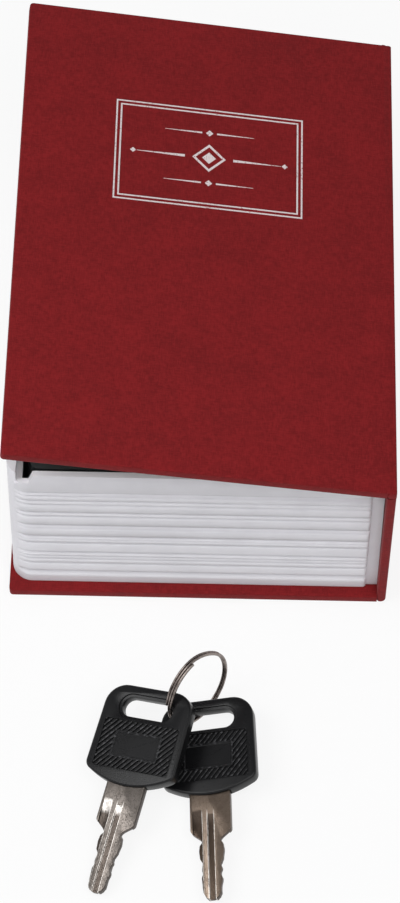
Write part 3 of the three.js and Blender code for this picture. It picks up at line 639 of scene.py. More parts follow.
class Shape:
    """One mesh being shaped with the edit-mode tools. Every size it is given is in millimetres."""

    def __init__(self, obj: bpy.types.Object, name: str) -> None:
        """Takes over a new object, settles its place in its mesh and names it.

        Args:
            obj: the object.
            name: its name from now on.
        """
        bpy.ops.object.transform_apply(location=True, rotation=True, scale=True)
        obj.name = name
        obj.data.name = name
        self.obj = obj

    @staticmethod
    def alone(*objs: bpy.types.Object) -> None:
        """Leaves edit mode and selects only these objects, the first of them active.

        Args:
            objs: the objects; with none, everything is deselected.
        """
        active = bpy.context.view_layer.objects.active
        if active is not None and active.mode != "OBJECT":
            bpy.ops.object.mode_set(mode="OBJECT")
        bpy.ops.object.select_all(action="DESELECT")
        for obj in objs:
            obj.select_set(True)
        if objs:
            bpy.context.view_layer.objects.active = objs[0]

    @classmethod
    def block(cls, name: str, low: Triple, high: Triple) -> Shape:
        """A box between two corners.

        Args:
            name: the new piece's name.
            low: its lowest corner.
            high: its highest corner.

        Returns:
            The new shape.
        """
        cls.alone()
        centre = [(a + b) / 2 * MM for a, b in zip(low, high)]
        size = [(b - a) * MM for a, b in zip(low, high)]
        bpy.ops.mesh.primitive_cube_add(size=1.0, location=centre, scale=size)
        return cls(bpy.context.object, name)

    @classmethod
    def disc(
        cls, name: str, centre: Triple, radius: float, sides: int, tilt: Triple = (0, 0, 0)
    ) -> Shape:
        """A filled circle that faces +Z before it is tilted by degrees.

        Args:
            name: the new piece's name.
            centre: its middle.
            radius: its radius.
            sides: corners round it.
            tilt: degrees about each axis.

        Returns:
            The new shape.
        """
        cls.alone()
        bpy.ops.mesh.primitive_circle_add(
            vertices=sides,
            radius=radius * MM,
            fill_type="NGON",
            location=[c * MM for c in centre],
            rotation=[math.radians(a) for a in tilt],
        )
        return cls(bpy.context.object, name)

    @classmethod
    def copy_of(cls, node: str, name: str) -> Shape:
        """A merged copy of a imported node's mesh; the node itself stays as it is.

        Args:
            node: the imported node.
            name: the new piece's name.

        Returns:
            The new shape.
        """
        source = frame["nodes"][node]
        cls.alone(source)
        bpy.ops.object.duplicate()
        made = bpy.context.object
        made.parent = None
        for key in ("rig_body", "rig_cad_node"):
            if key in made:
                del made[key]
        made.data.materials.clear()
        shape = cls(made, name)
        shape.all().weld(0.002)
        bpy.ops.mesh.dissolve_limited(angle_limit=math.radians(0.6))
        return shape

    def edit(self) -> Shape:
        """Goes into edit mode on this mesh.

        Returns:
            The same shape.
        """
        if bpy.context.object is not self.obj or self.obj.mode != "EDIT":
            self.alone(self.obj)
            bpy.ops.object.mode_set(mode="EDIT")
        return self

    def all(self) -> Shape:
        """Selects the whole mesh.

        Returns:
            The same shape.
        """
        self.edit()
        bpy.ops.mesh.select_all(action="SELECT")
        return self

    def _pick(self, mode: str, chosen: Callable[[bmesh.types.BMesh], list]) -> Shape:
        """Selects the elements that a function chooses, in one of the three select modes.

        Args:
            mode: VERT, EDGE or FACE.
            chosen: what picks the elements from the mesh.

        Returns:
            The same shape.
        """
        self.edit()
        bpy.ops.mesh.select_mode(type=mode)
        bpy.ops.mesh.select_all(action="DESELECT")
        mesh = bmesh.from_edit_mesh(self.obj.data)
        for element in chosen(mesh):
            element.select_set(True)
        mesh.select_flush_mode()
        bmesh.update_edit_mesh(self.obj.data)
        return self

    def points(self, test: Test) -> Shape:
        """Selects the corners whose place passes the test."""
        return self._pick("VERT", lambda mesh: [v for v in mesh.verts if test(v.co / MM)])

    def edges(self, test: Test, fold: float = 0.0) -> Shape:
        """Selects the edges whose two ends pass the test and that fold by at least so many degrees.

        Args:
            test: a test of the places of both ends.
            fold: the least fold in degrees.

        Returns:
            The same shape.
        """
        least = math.radians(fold)
        return self._pick(
            "EDGE",
            lambda mesh: [
                e
                for e in mesh.edges
                if test(e.verts[0].co / MM, e.verts[1].co / MM) and e.calc_face_angle(math.pi) >= least
            ],
        )

    def faces(self, test: Test) -> Shape:
        """Selects the faces whose middle and normal pass the test.

        Args:
            test: a test of the middle and the normal.

        Returns:
            The same shape.
        """
        return self._pick(
            "FACE", lambda mesh: [f for f in mesh.faces if test(f.calc_center_median() / MM, f.normal)]
        )

    def move(self, x: float = 0, y: float = 0, z: float = 0) -> Shape:
        """Moves what is selected."""
        bpy.ops.transform.translate(value=(x * MM, y * MM, z * MM))
        return self

    def scale(self, factors: Triple, centre: Triple = (0, 0, 0)) -> Shape:
        """Scales what is selected about a point."""
        bpy.ops.transform.resize(value=factors, center_override=[c * MM for c in centre])
        return self

    def turn(self, degrees: float, axis: str, centre: Triple = (0, 0, 0)) -> Shape:
        """Turns what is selected about an axis through a point, right-handed."""
        bpy.ops.transform.rotate(
            value=-math.radians(degrees), orient_axis=axis, center_override=[c * MM for c in centre]
        )
        return self

    def press(self, depth: Callable[[Vector], float]) -> Shape:
        """Moves every corner level inwards, by the depth in millimetres that its place has.

        Args:
            depth: the depth at a place.

        Returns:
            The same shape.
        """
        self.edit()
        mesh = bmesh.from_edit_mesh(self.obj.data)
        mesh.normal_update()
        moves = []
        for corner in mesh.verts:
            out = Vector((corner.normal.x, corner.normal.y, 0.0))
            if out.length > 0.3:
                moves.append((corner, out.normalized() * depth(corner.co / MM) * MM))
        for corner, move in moves:
            corner.co -= move
        bmesh.update_edit_mesh(self.obj.data)
        return self

    def extrude(self, x: float = 0, y: float = 0, z: float = 0) -> Shape:
        """Extrudes what is selected."""
        bpy.ops.mesh.extrude_region_move(TRANSFORM_OT_translate={"value": (x * MM, y * MM, z * MM)})
        return self

    def inset(self, width: float) -> Shape:
        """Insets the selected faces."""
        bpy.ops.mesh.inset(thickness=width * MM, depth=0.0, use_even_offset=True)
        return self

    def bevel(self, width: float, segments: int = 2) -> Shape:
        """Bevels the selected edges."""
        bpy.ops.mesh.bevel(
            offset=width * MM, offset_type="OFFSET", segments=segments, affect="EDGES", clamp_overlap=True
        )
        return self

    def slice(self, at: Triple, normal: Triple) -> Shape:
        """Cuts what is selected along a plane and keeps both sides."""
        bpy.ops.mesh.bisect(plane_co=[c * MM for c in at], plane_no=normal)
        return self

    def delete(self) -> Shape:
        """Deletes the selected faces."""
        bpy.ops.mesh.delete(type="FACE")
        return self

    def weld(self, distance: float = 0.001) -> Shape:
        """Merges selected corners that meet."""
        bpy.ops.mesh.remove_doubles(threshold=distance * MM)
        return self

    def outward(self) -> Shape:
        """Points every face outwards.

        Returns:
            The same shape.
        """
        self.all()
        bpy.ops.mesh.normals_make_consistent(inside=False)
        return self

    def tidy(self) -> Shape:
        """Merges corners that meet and removes faces without area.

        Returns:
            The same shape.
        """
        self.all().weld()
        bpy.ops.mesh.dissolve_degenerate(threshold=0.001 * MM)
        return self

    def flat(self) -> Shape:
        """Joins faces that lie in one plane.

        Returns:
            The same shape.
        """
        self.all()
        bpy.ops.mesh.dissolve_limited(angle_limit=math.radians(0.5))
        return self

    def modify(self, kind: str, **settings: Any) -> Shape:
        """Adds one modifier and applies it.

        Args:
            kind: the modifier's type.
            settings: its settings.

        Returns:
            The same shape.
        """
        self.alone(self.obj)
        modifier = self.obj.modifiers.new(kind.lower(), kind)
        for key, setting in settings.items():
            setattr(modifier, key, setting)
        bpy.ops.object.modifier_apply(modifier=modifier.name)
        return self

    def soften(self, width: float, segments: int, angle: float) -> Shape:
        """Rounds every edge sharper than an angle.

        Args:
            width: width of the rounding.
            segments: faces across it.
            angle: the least fold that is rounded, in degrees.

        Returns:
            The same shape.
        """
        return self.modify(
            "BEVEL",
            width=width * MM,
            segments=segments,
            limit_method="ANGLE",
            angle_limit=math.radians(angle),
            use_clamp_overlap=True,
            miter_outer="MITER_ARC",
        )

    def _with(self, tools: Sequence[Shape], operation: str) -> Shape:
        """Runs a boolean with each tool in turn; the tools are used up.

        Args:
            tools: the shapes to cut with or to add.
            operation: the boolean's kind.

        Returns:
            The same shape.
        """
        for tool in tools:
            tool.alone(tool.obj)
            self.modify("BOOLEAN", operation=operation, object=tool.obj, solver="EXACT")
            data = tool.obj.data
            bpy.data.objects.remove(tool.obj)
            bpy.data.meshes.remove(data)
        return self

    def cut(self, *tools: Shape) -> Shape:
        """Cuts the tools away."""
        return self._with(tools, "DIFFERENCE")

    def add(self, *tools: Shape) -> Shape:
        """Fuses the tools on."""
        return self._with(tools, "UNION")

    def keep_inside(self, *tools: Shape) -> Shape:
        """Keeps only what lies inside the tools."""
        return self._with(tools, "INTERSECT")

    def join(self, *others: Shape) -> Shape:
        """Takes the other meshes in as loose parts of this one.

        Args:
            others: the shapes that are taken in.

        Returns:
            The same shape.
        """
        if others:
            self.alone(self.obj, *[other.obj for other in others])
            bpy.ops.object.join()
        return self

    def copy(self, name: str) -> Shape:
        """A copy with its own mesh.

        Args:
            name: the copy's name.

        Returns:
            The copy.
        """
        self.alone(self.obj)
        bpy.ops.object.duplicate()
        return Shape(bpy.context.object, name)

    def lay(self, place: Matrix) -> Shape:
        """Puts the mesh where a matrix in metres says.

        Args:
            place: where it goes.

        Returns:
            The same shape.
        """
        self.alone(self.obj)
        self.obj.matrix_world = place
        bpy.ops.object.transform_apply(location=True, rotation=True, scale=True)
        return self

    def dress(
        self,
        material: bpy.types.Material,
        body: str,
        slot: str,
        stands_for: Sequence[str] = (),
        smooth: float = SMOOTH,
    ) -> Shape:
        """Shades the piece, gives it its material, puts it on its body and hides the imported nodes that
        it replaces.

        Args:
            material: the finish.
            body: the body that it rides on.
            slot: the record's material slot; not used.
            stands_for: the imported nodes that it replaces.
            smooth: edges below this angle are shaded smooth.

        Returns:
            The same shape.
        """
        self.alone(self.obj)
        self.obj.data.materials.clear()
        self.obj.data.materials.append(material)
        bpy.ops.object.shade_smooth_by_angle(angle=math.radians(smooth))
        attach(self.obj, body)
        if stands_for:
            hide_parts(*stands_for)
        log.info("%s: %d faces on %s", self.obj.name, len(self.obj.data.polygons), body)
        return self


def turned(
    name: str, profile: Sequence[tuple[float, float]], centre: tuple[float, float], sides: int
) -> Shape:
    """A round body about an upright axis, extruded ring by ring from a disc.

    Args:
        name: the new piece's name.
        profile: radius and height of each ring, from the first end to the last.
        centre: X and Y of the axis.
        sides: corners in a ring.

    Returns:
        The closed body.
    """
    x, y = centre
    radius, z = profile[0]
    shape = Shape.disc(name, (x, y, z), radius, sides)
    shape.all()
    for next_radius, next_z in profile[1:]:
        factor = next_radius / radius
        shape.extrude(z=next_z - z).scale((factor, factor, 1), (x, y, next_z))
        radius, z = next_radius, next_z
    return shape.outward()


def curve(points: Sequence[tuple[float, float]], at: float) -> float:
    """Height of a smooth curve through rising points, level at each hill and valley.

    Args:
        points: place and height of each point, from left to right.
        at: the place that is asked for.

    Returns:
        The height there.
    """
    for (x0, y0), (x1, y1) in zip(points, points[1:]):
        if at <= x1:
            share = max(0.0, (at - x0) / (x1 - x0))
            return y0 + (y1 - y0) * share * share * (3 - 2 * share)
    return points[-1][1]


# --------------------------------------------------------------------------------------------
# The case
# --------------------------------------------------------------------------------------------

OPEN_DEGREES = 9.1
FOLD = (39.2, 0.0, 43.8)
HALF_WIDTH = 40.0
HALF_LENGTH = 57.5


def upright(a: Vector, b: Vector) -> bool:
    """Whether an edge climbs."""
    return abs(a.z - b.z) > 0.1


def level(a: Vector, b: Vector) -> bool:
    """Whether an edge lies level."""
    return abs(a.z - b.z) < NEAR


@dataclass
class ClothWrap:
    """Book cloth round a board: the outer sheet, folded edges and the turned-in border."""

    name: str
    edge_x: float
    inner_z: float
    outer_z: float
    corner: float = 0.8
    rim: float = 0.38
    lap: float = 0.0
    lap_start: float = 0.3
    lap_rim: float = 0.12
    lap_flat: float = 0.1

    def blank(self) -> Shape:
        """The board's size as a block with round fore corners and rims.

        Returns:
            The block.
        """
        low, high = sorted((self.inner_z, self.outer_z))
        shape = Shape.block(self.name, (-HALF_WIDTH, -HALF_LENGTH, low), (self.edge_x, HALF_LENGTH, high))
        fore = -HALF_WIDTH + NEAR
        shape.edges(lambda a, b: max(a.x, b.x) < fore and upright(a, b)).bevel(self.corner, 6)
        joint = self.edge_x - NEAR
        shape.edges(lambda a, b: level(a, b) and min(a.x, b.x) <= joint).bevel(self.rim, 4)
        return shape

    def _inside(self, name: str, margin: float, low: float, high: float) -> Shape:
        """A block within the cover, open at the joint.

        Args:
            name: its name.
            margin: how far it stays from the three other edges.
            low: its lower height.
            high: its upper height.

        Returns:
            The block.
        """
        near = (-HALF_WIDTH + margin, -HALF_LENGTH + margin, low)
        return Shape.block(name, near, (self.edge_x + PAST, HALF_LENGTH - margin, high))

    def hollow(self, shape: Shape) -> Shape:
        """Makes room for the board, open at the joint, and opens the turned-in border.

        Args:
            shape: the blank.

        Returns:
            The same shape, with its lap over the fold if it has one.
        """
        low, high = sorted((self.inner_z, self.outer_z))
        room = self._inside("room", CLOTH, low + CLOTH, high - CLOTH)
        room.edges(lambda a, b: max(a.x, b.x) < 0 and upright(a, b)).bevel(self.corner - CLOTH, 6)
        outside = self.inner_z + math.copysign(PAST, self.inner_z - self.outer_z)
        window = self._inside("window", TURN_IN, *sorted(((low + high) / 2, outside)))
        shape.cut(room, window)
        return self._reach(shape, high) if self.lap else shape

    def _reach(self, shape: Shape, high: float) -> Shape:
        """Carries the outer sheet on over the fold, with its far and near corners rounded.

        Args:
            shape: the hollow cover.
            high: height of its outer face.

        Returns:
            The same shape.
        """
        end = self.edge_x + self.lap
        low = (self.edge_x - self.lap_start, -HALF_LENGTH, high - CLOTH)
        sheet = Shape.block("lap", low, (end, HALF_LENGTH, high))
        joint = self.lap - self.lap_flat
        sheet.edges(lambda a, b: min(a.x, b.x) > end - NEAR and upright(a, b)).bevel(joint, 6)
        sheet.edges(
            lambda a, b: min(a.z, b.z) > high - NEAR and a.y * b.y > 0 and abs(a.y) > HALF_LENGTH - 2
        ).bevel(self.lap_rim, 2)
        return shape.add(sheet).tidy()


@dataclass
class TitlePlace:
    """The stamped frame on the front: its sunk band, and a plain ornament where a title would be."""

    half_x: float = 20.3
    half_y: float = 13.15
    centre_y: float = 20.85
    band: float = 1.5
    sink: float = 0.12
    face_z: float = 45.0
    foil: float = 0.05
    root: float = 0.02
    rule: float = 0.42
    fine: float = 0.08
    heart: float = 3.6
    heart_rim: float = 0.5
    core: float = 1.5
    middle_rule: tuple[float, float] = (5.2, 15.5)
    middle_bold: float = 1.5
    middle_end: tuple[float, float] = (16.3, 0.65)
    row: float = 6.6
    row_rule: tuple[float, float] = (1.6, 9.6)
    row_heart: float = 0.8

    def press(self, shape: Shape) -> Shape:
        """Presses the band of the frame into the cover's face.

        Args:
            shape: the cover's blank.

        Returns:
            The same shape.
        """
        x, y0, y1 = self.half_x, self.centre_y - self.half_y, self.centre_y + self.half_y
        for at, normal in (
            ((-x, 0, 0), (1, 0, 0)),
            ((x, 0, 0), (1, 0, 0)),
            ((0, y0, 0), (0, 1, 0)),
            ((0, y1, 0), (0, 1, 0)),
        ):
            shape.faces(lambda c, n: n.z > 0.99 and c.z > self.face_z - NEAR).slice(at, normal)
        shape.faces(lambda c, n: n.z > 0.99 and max(abs(c.x), abs(c.y - self.centre_y)) < 1)
        shape.inset(self.band)
        inner_x, inner_y = self.half_x - self.band - NEAR, self.half_y - self.band - NEAR
        shape.faces(
            lambda c, n: n.z > 0.99
            and c.z > self.face_z - NEAR
            and abs(c.x) < x
            and y0 < c.y < y1
            and (abs(c.x) > inner_x or abs(c.y - self.centre_y) > inner_y)
        ).extrude(z=-self.sink)
        return shape

    def _rule(self, x0: float, x1: float, y: float, wide: float) -> Shape:
        """A flat rule that tapers to a fine end.

        Args:
            x0: where it starts.
            x1: where it ends.
            y: its distance from the frame's middle.
            wide: its width at the start.

        Returns:
            The rule.
        """
        middle = y + self.centre_y
        low = (min(x0, x1), middle - wide / 2, self.face_z - self.root)
        shape = Shape.block("rule", low, (max(x0, x1), middle + wide / 2, self.face_z + self.foil))
        factor = (1.0, self.fine / wide, 1.0)
        shape.points(lambda p: abs(p.x - x1) < NEAR).scale(factor, (x1, middle, self.face_z))
        return shape

    def _lozenge(self, x: float, y: float, size: float, hollow: float = 0.0) -> Shape:
        """A square stood on its corner, with a smaller one sunk in it.

        Args:
            x: place of its middle across.
            y: its distance from the frame's middle.
            size: from its middle to a corner.
            hollow: width of the rim round what is sunk; 0 leaves it whole.

        Returns:
            The lozenge.
        """
        top = self.face_z + self.foil
        shape = Shape.disc("lozenge", (x, y + self.centre_y, self.face_z - self.root), size, 4)
        shape.all().extrude(z=self.foil + self.root)
        if hollow:
            rim = shape.faces(lambda c, n: n.z > 0.99 and c.z > top - NEAR).inset(hollow)
            rim.extrude(z=-self.foil - self.root / 2)
        return shape.outward()

    def ornament(self) -> Shape:
        """Three rows of plain rules about a hollow lozenge.

        Returns:
            All of them as one piece.
        """
        parts = [self._lozenge(0, 0, self.heart, self.heart_rim), self._lozenge(0, 0, self.core)]
        end_x, end_size = self.middle_end
        for side in (-1, 1):
            x0, x1 = (side * x for x in self.middle_rule)
            parts.append(self._rule(x0, x1, 0, self.rule * self.middle_bold))
            parts.append(self._lozenge(side * end_x, 0, end_size))
            x0, x1 = (side * x for x in self.row_rule)
            for row in (-self.row, self.row):
                parts.append(self._rule(x0, x1, row, self.rule))
        for row in (-self.row, self.row):
            parts.append(self._lozenge(0, row, self.row_heart))
        return parts[0].join(*parts[1:])


@dataclass
class Spine:
    """The spine's cloth, round at its foot and ends, and the round fold at its top."""

    inner_x: float = 38.1
    top_z: float = 42.6
    foot: float = 1.1
    inner_foot: float = 0.72
    end: float = 0.6
    board_foot: float = 1.2
    bead: float = 1.2
    bead_end: float = 0.45
    outer_skin: float = 1.0

    def build_cloth(self) -> Shape:
        """The wrap round the spine's board, open at the top and on the inside.

        Returns:
            The wrap.
        """
        low = (self.inner_x, -HALF_LENGTH, 0)
        shape = Shape.block("spine_wrap", low, (HALF_WIDTH, HALF_LENGTH, self.top_z))
        outer, inner = HALF_WIDTH - NEAR, self.inner_x + NEAR
        shape.edges(lambda a, b: max(a.z, b.z) < NEAR and min(a.x, b.x) > outer).bevel(self.foot, 6)
        shape.edges(lambda a, b: max(a.z, b.z) < NEAR and max(a.x, b.x) < inner).bevel(self.inner_foot, 5)
        end, top = HALF_LENGTH - NEAR, self.top_z - NEAR
        shape.edges(
            lambda a, b: min(abs(a.y), abs(b.y)) > end and a.y * b.y > 0 and min(a.z, b.z) < top, 30
        ).bevel(self.end, 5)
        room = Shape.block(
            "spine_room",
            (self.inner_x + CLOTH, -HALF_LENGTH + CLOTH, self.board_foot),
            (HALF_WIDTH - CLOTH, HALF_LENGTH - CLOTH, self.top_z + PAST),
        )
        window = Shape.block(
            "spine_window",
            (self.inner_x - PAST, -HALF_LENGTH + TURN_IN, self.board_foot),
            (HALF_WIDTH - self.outer_skin, HALF_LENGTH - TURN_IN, self.top_z + PAST),
        )
        return shape.cut(room, window)

    def build_fold(self) -> Shape:
        """The cloth that closes the joint: round above, flush with the spine at its side.

        Returns:
            The fold.
        """
        x, _, z = FOLD
        shape = Shape.disc("joint_fold", (x, -HALF_LENGTH, z), self.bead, 40, (90, 0, 0))
        shape.all().extrude(y=2 * HALF_LENGTH)
        side = HALF_WIDTH + NEAR
        shape.points(lambda p: p.x > side).scale((0, 1, 1), (side, 0, 0))
        shape.edges(lambda a, b: abs(a.y - b.y) < NEAR).bevel(self.bead_end, 4)
        return shape.outward()


@dataclass
class PageBlock:
    """The moulded block: a wall ribbed like pages, with a notch in its rim and a plain strip."""

    fore_x: float = -39.4
    spine_x: float = 38.08
    half_length: float = 55.2
    bottom_z: float = 2.5
    top_z: float = 42.3
    end_draft: float = 1.8
    fore_draft: float = 0.4
    wall: float = 1.3
    fore_wall: float = 2.1
    corner: float = 4.4
    inner_corner: float = 0.9
    rim: float = 0.35
    foot_z: float = 3.7
    foot_reach: float = 2.0
    strip: float = 2.45
    strip_depth: float = 0.7
    notch_x: float = -37.0
    notch_width: float = 2.6
    notch_flare: float = 0.9
    notch_depth: float = 2.7
    notch_round: float = 0.35
    ledge: float = 1.15
    ledge_root: float = 0.5
    ledge_low: float = 37.4
    ledge_top: float = 39.2
    ledge_short: float = 0.6
    faint: float = 0.04
    fade_in: tuple[float, float] = (18.0, 22.0)
    fade_out: float = 16.0
    rib_depth: float = 1.1
    end_depth: float = 1.15
    end_round: float = 0.6
    end_blunt: float = 0.03
    strip_proud: float = 0.05
    same_level: float = 0.003
    end_steps: tuple[float, ...] = (-0.95, -0.6, -0.42, -0.26, -0.12, -0.03, 0.05, 0.12)
    grooves: tuple[Triple, ...] = (
        (5.9, 0.9, 1.1),
        (9.45, 0.66, 0.5),
        (11.2, 0.66, 0.5),
        (12.25, 0.46, 0.4),
        (13.6, 0.82, 0.7),
        (17.2, 0.9, 0.55),
        (18.75, 0.3, 0.4),
        (19.7, 0.9, 0.55),
        (22.95, 0.69, 0.45),
        (23.9, 0.82, 0.48),
        (27.3, 0.82, 0.55),
        (28.7, 0.79, 0.5),
        (31.55, 0.53, 0.55),
        (33.05, 0.82, 0.5),
        (34.9, 0.74, 0.5),
        (35.95, 0.46, 0.5),
    )
    lip: tuple[tuple[float, float], ...] = (
        (-1.15, 0.0),
        (-1.0, 0.0),
        (-0.6, 0.22),
        (-0.25, 0.8),
        (0.0, 1.0),
        (0.25, 0.8),
        (0.6, 0.22),
        (1.0, 0.0),
        (1.15, 0.0),
    )

    def lean(self, z: float, draft: float) -> float:
        """How far a wall leans in at a height."""
        return draft * (z - self.bottom_z) / (self.top_z - self.bottom_z)

    def _drafted(
        self, name: str, ends: float, fore: float, low: float, high: float, spine_x: float, corner: float
    ) -> Shape:
        """A block whose ends and fore side keep their insets from the leaning faces.

        Args:
            name: its name.
            ends: how far it stays inside the two ends.
            fore: how far it stays inside the fore side.
            low: its lower height.
            high: its upper height.
            spine_x: its side towards the spine.
            corner: radius of its fore corners.

        Returns:
            The block.
        """
        half_low = self.half_length - ends - self.lean(low, self.end_draft)
        half_high = self.half_length - ends - self.lean(high, self.end_draft)
        fore_low = self.fore_x + fore + self.lean(low, self.fore_draft)
        fore_high = self.fore_x + fore + self.lean(high, self.fore_draft)
        shape = Shape.block(name, (fore_low, -half_low, low), (spine_x, half_low, high))
        shape.points(lambda p: p.z > high - NEAR).scale((1, half_high / half_low, 1), (0, 0, high))
        shape.points(lambda p: p.z > high - NEAR and p.x < 0).move(x=fore_high - fore_low)
        shape.edges(lambda a, b: max(a.x, b.x) < 0 and upright(a, b)).bevel(corner, 12)
        return shape

    def build(self) -> Shape:
        """Ribs the block, hollows it and cuts the strips and the notches.

        Returns:
            The block.
        """
        shape = self._ribbed()
        low, high, beyond = self.bottom_z - PAST, self.top_z + PAST, self.spine_x + PAST
        foot, inner, corner = self.foot_z, self.wall + self.foot_reach, self.inner_corner
        shape.cut(
            self._drafted("cavity", self.wall, self.fore_wall, foot, high, beyond, corner),
            self._drafted("foot_cut", inner, inner, low, foot + PAST, beyond, corner),
            *[self._strip(side) for side in (-1, 1)],
            *[self._notch(side) for side in (-1, 1)],
        )
        top = self.top_z - NEAR
        shape.edges(lambda a, b: min(a.z, b.z) > top, 50).bevel(self.rim, 3)
        inside = self.fore_x + self.fore_wall + self.lean(self.ledge_top, self.fore_draft)
        reach = self.half_length - self.wall - self.ledge_short
        near = (inside - self.ledge_root, -reach, self.ledge_low)
        far = (inside + self.ledge, reach, self.ledge_top)
        return shape.add(Shape.block("ledge", near, far)).tidy()

    def _ribbed(self) -> Shape:
        """The block before it is hollowed, its ends and fore side pressed in at the grooves.

        Returns:
            The block, closed and in triangles.
        """
        shape = self._drafted("page_wall", 0.0, 0.0, self.bottom_z, self.top_z, self.spine_x, self.corner)
        shape.faces(lambda c, n: n.x > 0.99).delete()
        for step in self.end_steps:
            shape.all().slice((self.spine_x - self.strip + step, 0, 0), (1, 0, 0))
        for middle, _, reach in self.grooves:
            for place, _ in self.lip:
                shape.all().slice((0, 0, middle + place * reach), (0, 0, 1))
        shape.press(self._depth)
        shape.edges(lambda a, b: min(a.x, b.x) > self.spine_x - NEAR)
        bpy.ops.mesh.edge_face_add()
        shape.outward()
        bpy.ops.mesh.quads_convert_to_tris()
        return shape

    def _depth(self, point: Vector) -> float:
        """How far the outer face is pressed in: the ribs' grooves and their round ends.

        Args:
            point: a place on it.

        Returns:
            The depth there.
        """
        edge = self.spine_x - self.strip
        if point.x > edge + self.end_steps[-1] - NEAR:
            return 0.0
        depth = 0.0
        for middle, most, reach in self.grooves:
            for place, share in self.lip:
                if share and abs(point.z - middle - place * reach) < self.same_level:
                    depth = most * share * self.rib_depth
        depth *= 1 - (1 - self.faint) * self._round(point)
        past = point.x - (edge - self.end_round)
        if past > 0:
            past = min(past, self.end_round - self.end_blunt)
            depth = depth * self.end_depth + self.end_round - math.sqrt(self.end_round**2 - past**2)
            depth = min(depth, self.strip_depth - self.strip_proud)
        return depth

    def _round(self, point: Vector) -> float:
        """Where the ribs are faint, on the round of a fore corner.

        Args:
            point: a place on the outer face.

        Returns:
            1 on the round and 0 on the flat sides.
        """
        across = self.fore_x + self.lean(point.z, self.fore_draft) + self.corner - point.x
        along = abs(point.y) - (self.half_length - self.lean(point.z, self.end_draft) - self.corner)
        if across <= 0 or along <= 0:
            return 0.0
        angle = math.degrees(math.atan2(across, along))
        start, run = self.fade_in
        fade_in = min(max((angle - start) / run, 0.0), 1.0)
        return fade_in * min(max((90 - angle) / self.fade_out, 0.0), 1.0)

    def _strip(self, side: int) -> Shape:
        """What is cut from an end wall to leave the plain strip beside the spine.

        Args:
            side: -1 for the near end and 1 for the far one.

        Returns:
            The cutter.
        """
        low, high = self.bottom_z - PAST, self.top_z + PAST
        near = self.half_length - self.strip_depth - self.lean(low, self.end_draft)
        far = (self.spine_x + PAST, self.half_length + PAST, high)
        shape = Shape.block("strip_cut", (self.spine_x - self.strip, near, low), far)
        shift = self.lean(low, self.end_draft) - self.lean(high, self.end_draft)
        shape.points(lambda p: p.z > high - NEAR and p.y < near + NEAR).move(y=shift)
        if side < 0:
            shape.all().scale((1, -1, 1))
            shape.outward()
        return shape

    def _notch(self, side: int) -> Shape:
        """What is cut from the rim for the finger notch.

        Args:
            side: -1 for the near end and 1 for the far one.

        Returns:
            The cutter.
        """
        bottom = self.top_z - self.notch_depth
        ends = sorted((side * (self.half_length + PAST), side * (self.half_length - self.corner)))
        right = self.notch_x + self.notch_width
        far = (right, ends[1], self.top_z + PAST)
        shape = Shape.block("notch_cut", (self.notch_x, ends[0], bottom), far)
        flare = self.notch_flare * (1 + PAST / self.notch_depth)
        shape.points(lambda p: p.z > self.top_z and p.x > right - NEAR).move(x=flare)
        shape.edges(
            lambda a, b: max(a.z, b.z) < bottom + NEAR and abs(a.x - b.x) < NEAR
        ).bevel(self.notch_round, 3)
        return shape


# --------------------------------------------------------------------------------------------
# The steel box and its lock
# --------------------------------------------------------------------------------------------


@dataclass
class CamLock:
    """The housing of the lock in the lid: a stepped head on a barrel, bored for the plug."""

    x: float = -22.0
    bore: float = 4.45
    barrel: float = 6.0
    head: float = 7.7
    barrel_z: float = 22.5
    seat_z: float = 41.1
    top_z: float = 42.15
    seat_chamfer: tuple[float, float] = (0.1, 0.12)
    # Places on the face: in from the head's edge, or out from the bore, and down from the top.
    shoulder: tuple[tuple[float, float], ...] = ((0.0, 0.55), (0.16, 0.2), (0.55, 0.03), (0.9, 0.0))
    mouth: tuple[tuple[float, float], ...] = (
        (1.5, 0.0), (1.35, 0.12), (0.95, 0.12), (0.8, 0.0), (0.35, 0.0), (0.0, 0.35),
    )
    sides: int = 72

    def build_housing(self) -> Shape:
        """Head with a round shoulder, a sunk ring and a chamfered mouth, on its barrel.

        Returns:
            The housing, open through its middle.
        """
        inset, rise = self.seat_chamfer
        profile = [
            (self.barrel, self.barrel_z),
            (self.barrel, self.seat_z),
            (self.head - inset, self.seat_z),
            (self.head, self.seat_z + rise),
            *[(self.head - across, self.top_z - down) for across, down in self.shoulder],
            *[(self.bore + across, self.top_z - down) for across, down in self.mouth],
            (self.bore, self.barrel_z),
        ]
        shape = turned("lock_body", profile, (self.x, 0), self.sides)
        foot = self.barrel_z + NEAR
        shape.faces(lambda c, n: c.z < foot and abs(n.z) > 0.99).delete()
        shape.edges(lambda a, b: max(a.z, b.z) < foot)
        bpy.ops.mesh.bridge_edge_loops()
        return shape.outward()


@dataclass
class Rivet:
    """A domed rivet head on its shank."""

    name: str
    radius: float = 1.2
    head: float = 2.2
    low: float = 1.2
    seat: float = 3.4
    rise: float = 0.9
    rim: float = 0.12
    ring_step: int = 15
    sides: int = 40

    def build(self, centre: tuple[float, float]) -> Shape:
        """The shank and a dome of five rings, upright at a place.

        Args:
            centre: X and Y of its axis.

        Returns:
            The rivet.
        """
        base = self.seat + self.rim
        profile = [(self.radius, self.low), (self.radius, self.seat)]
        profile += [(self.head, self.seat), (self.head, base)]
        for degrees in range(self.ring_step, 90, self.ring_step):
            angle = math.radians(degrees)
            profile.append((self.head * math.cos(angle), base + (self.rise - self.rim) * math.sin(angle)))
        return turned(self.name, profile, centre, self.sides)


# --------------------------------------------------------------------------------------------
# Keys and ring
# --------------------------------------------------------------------------------------------


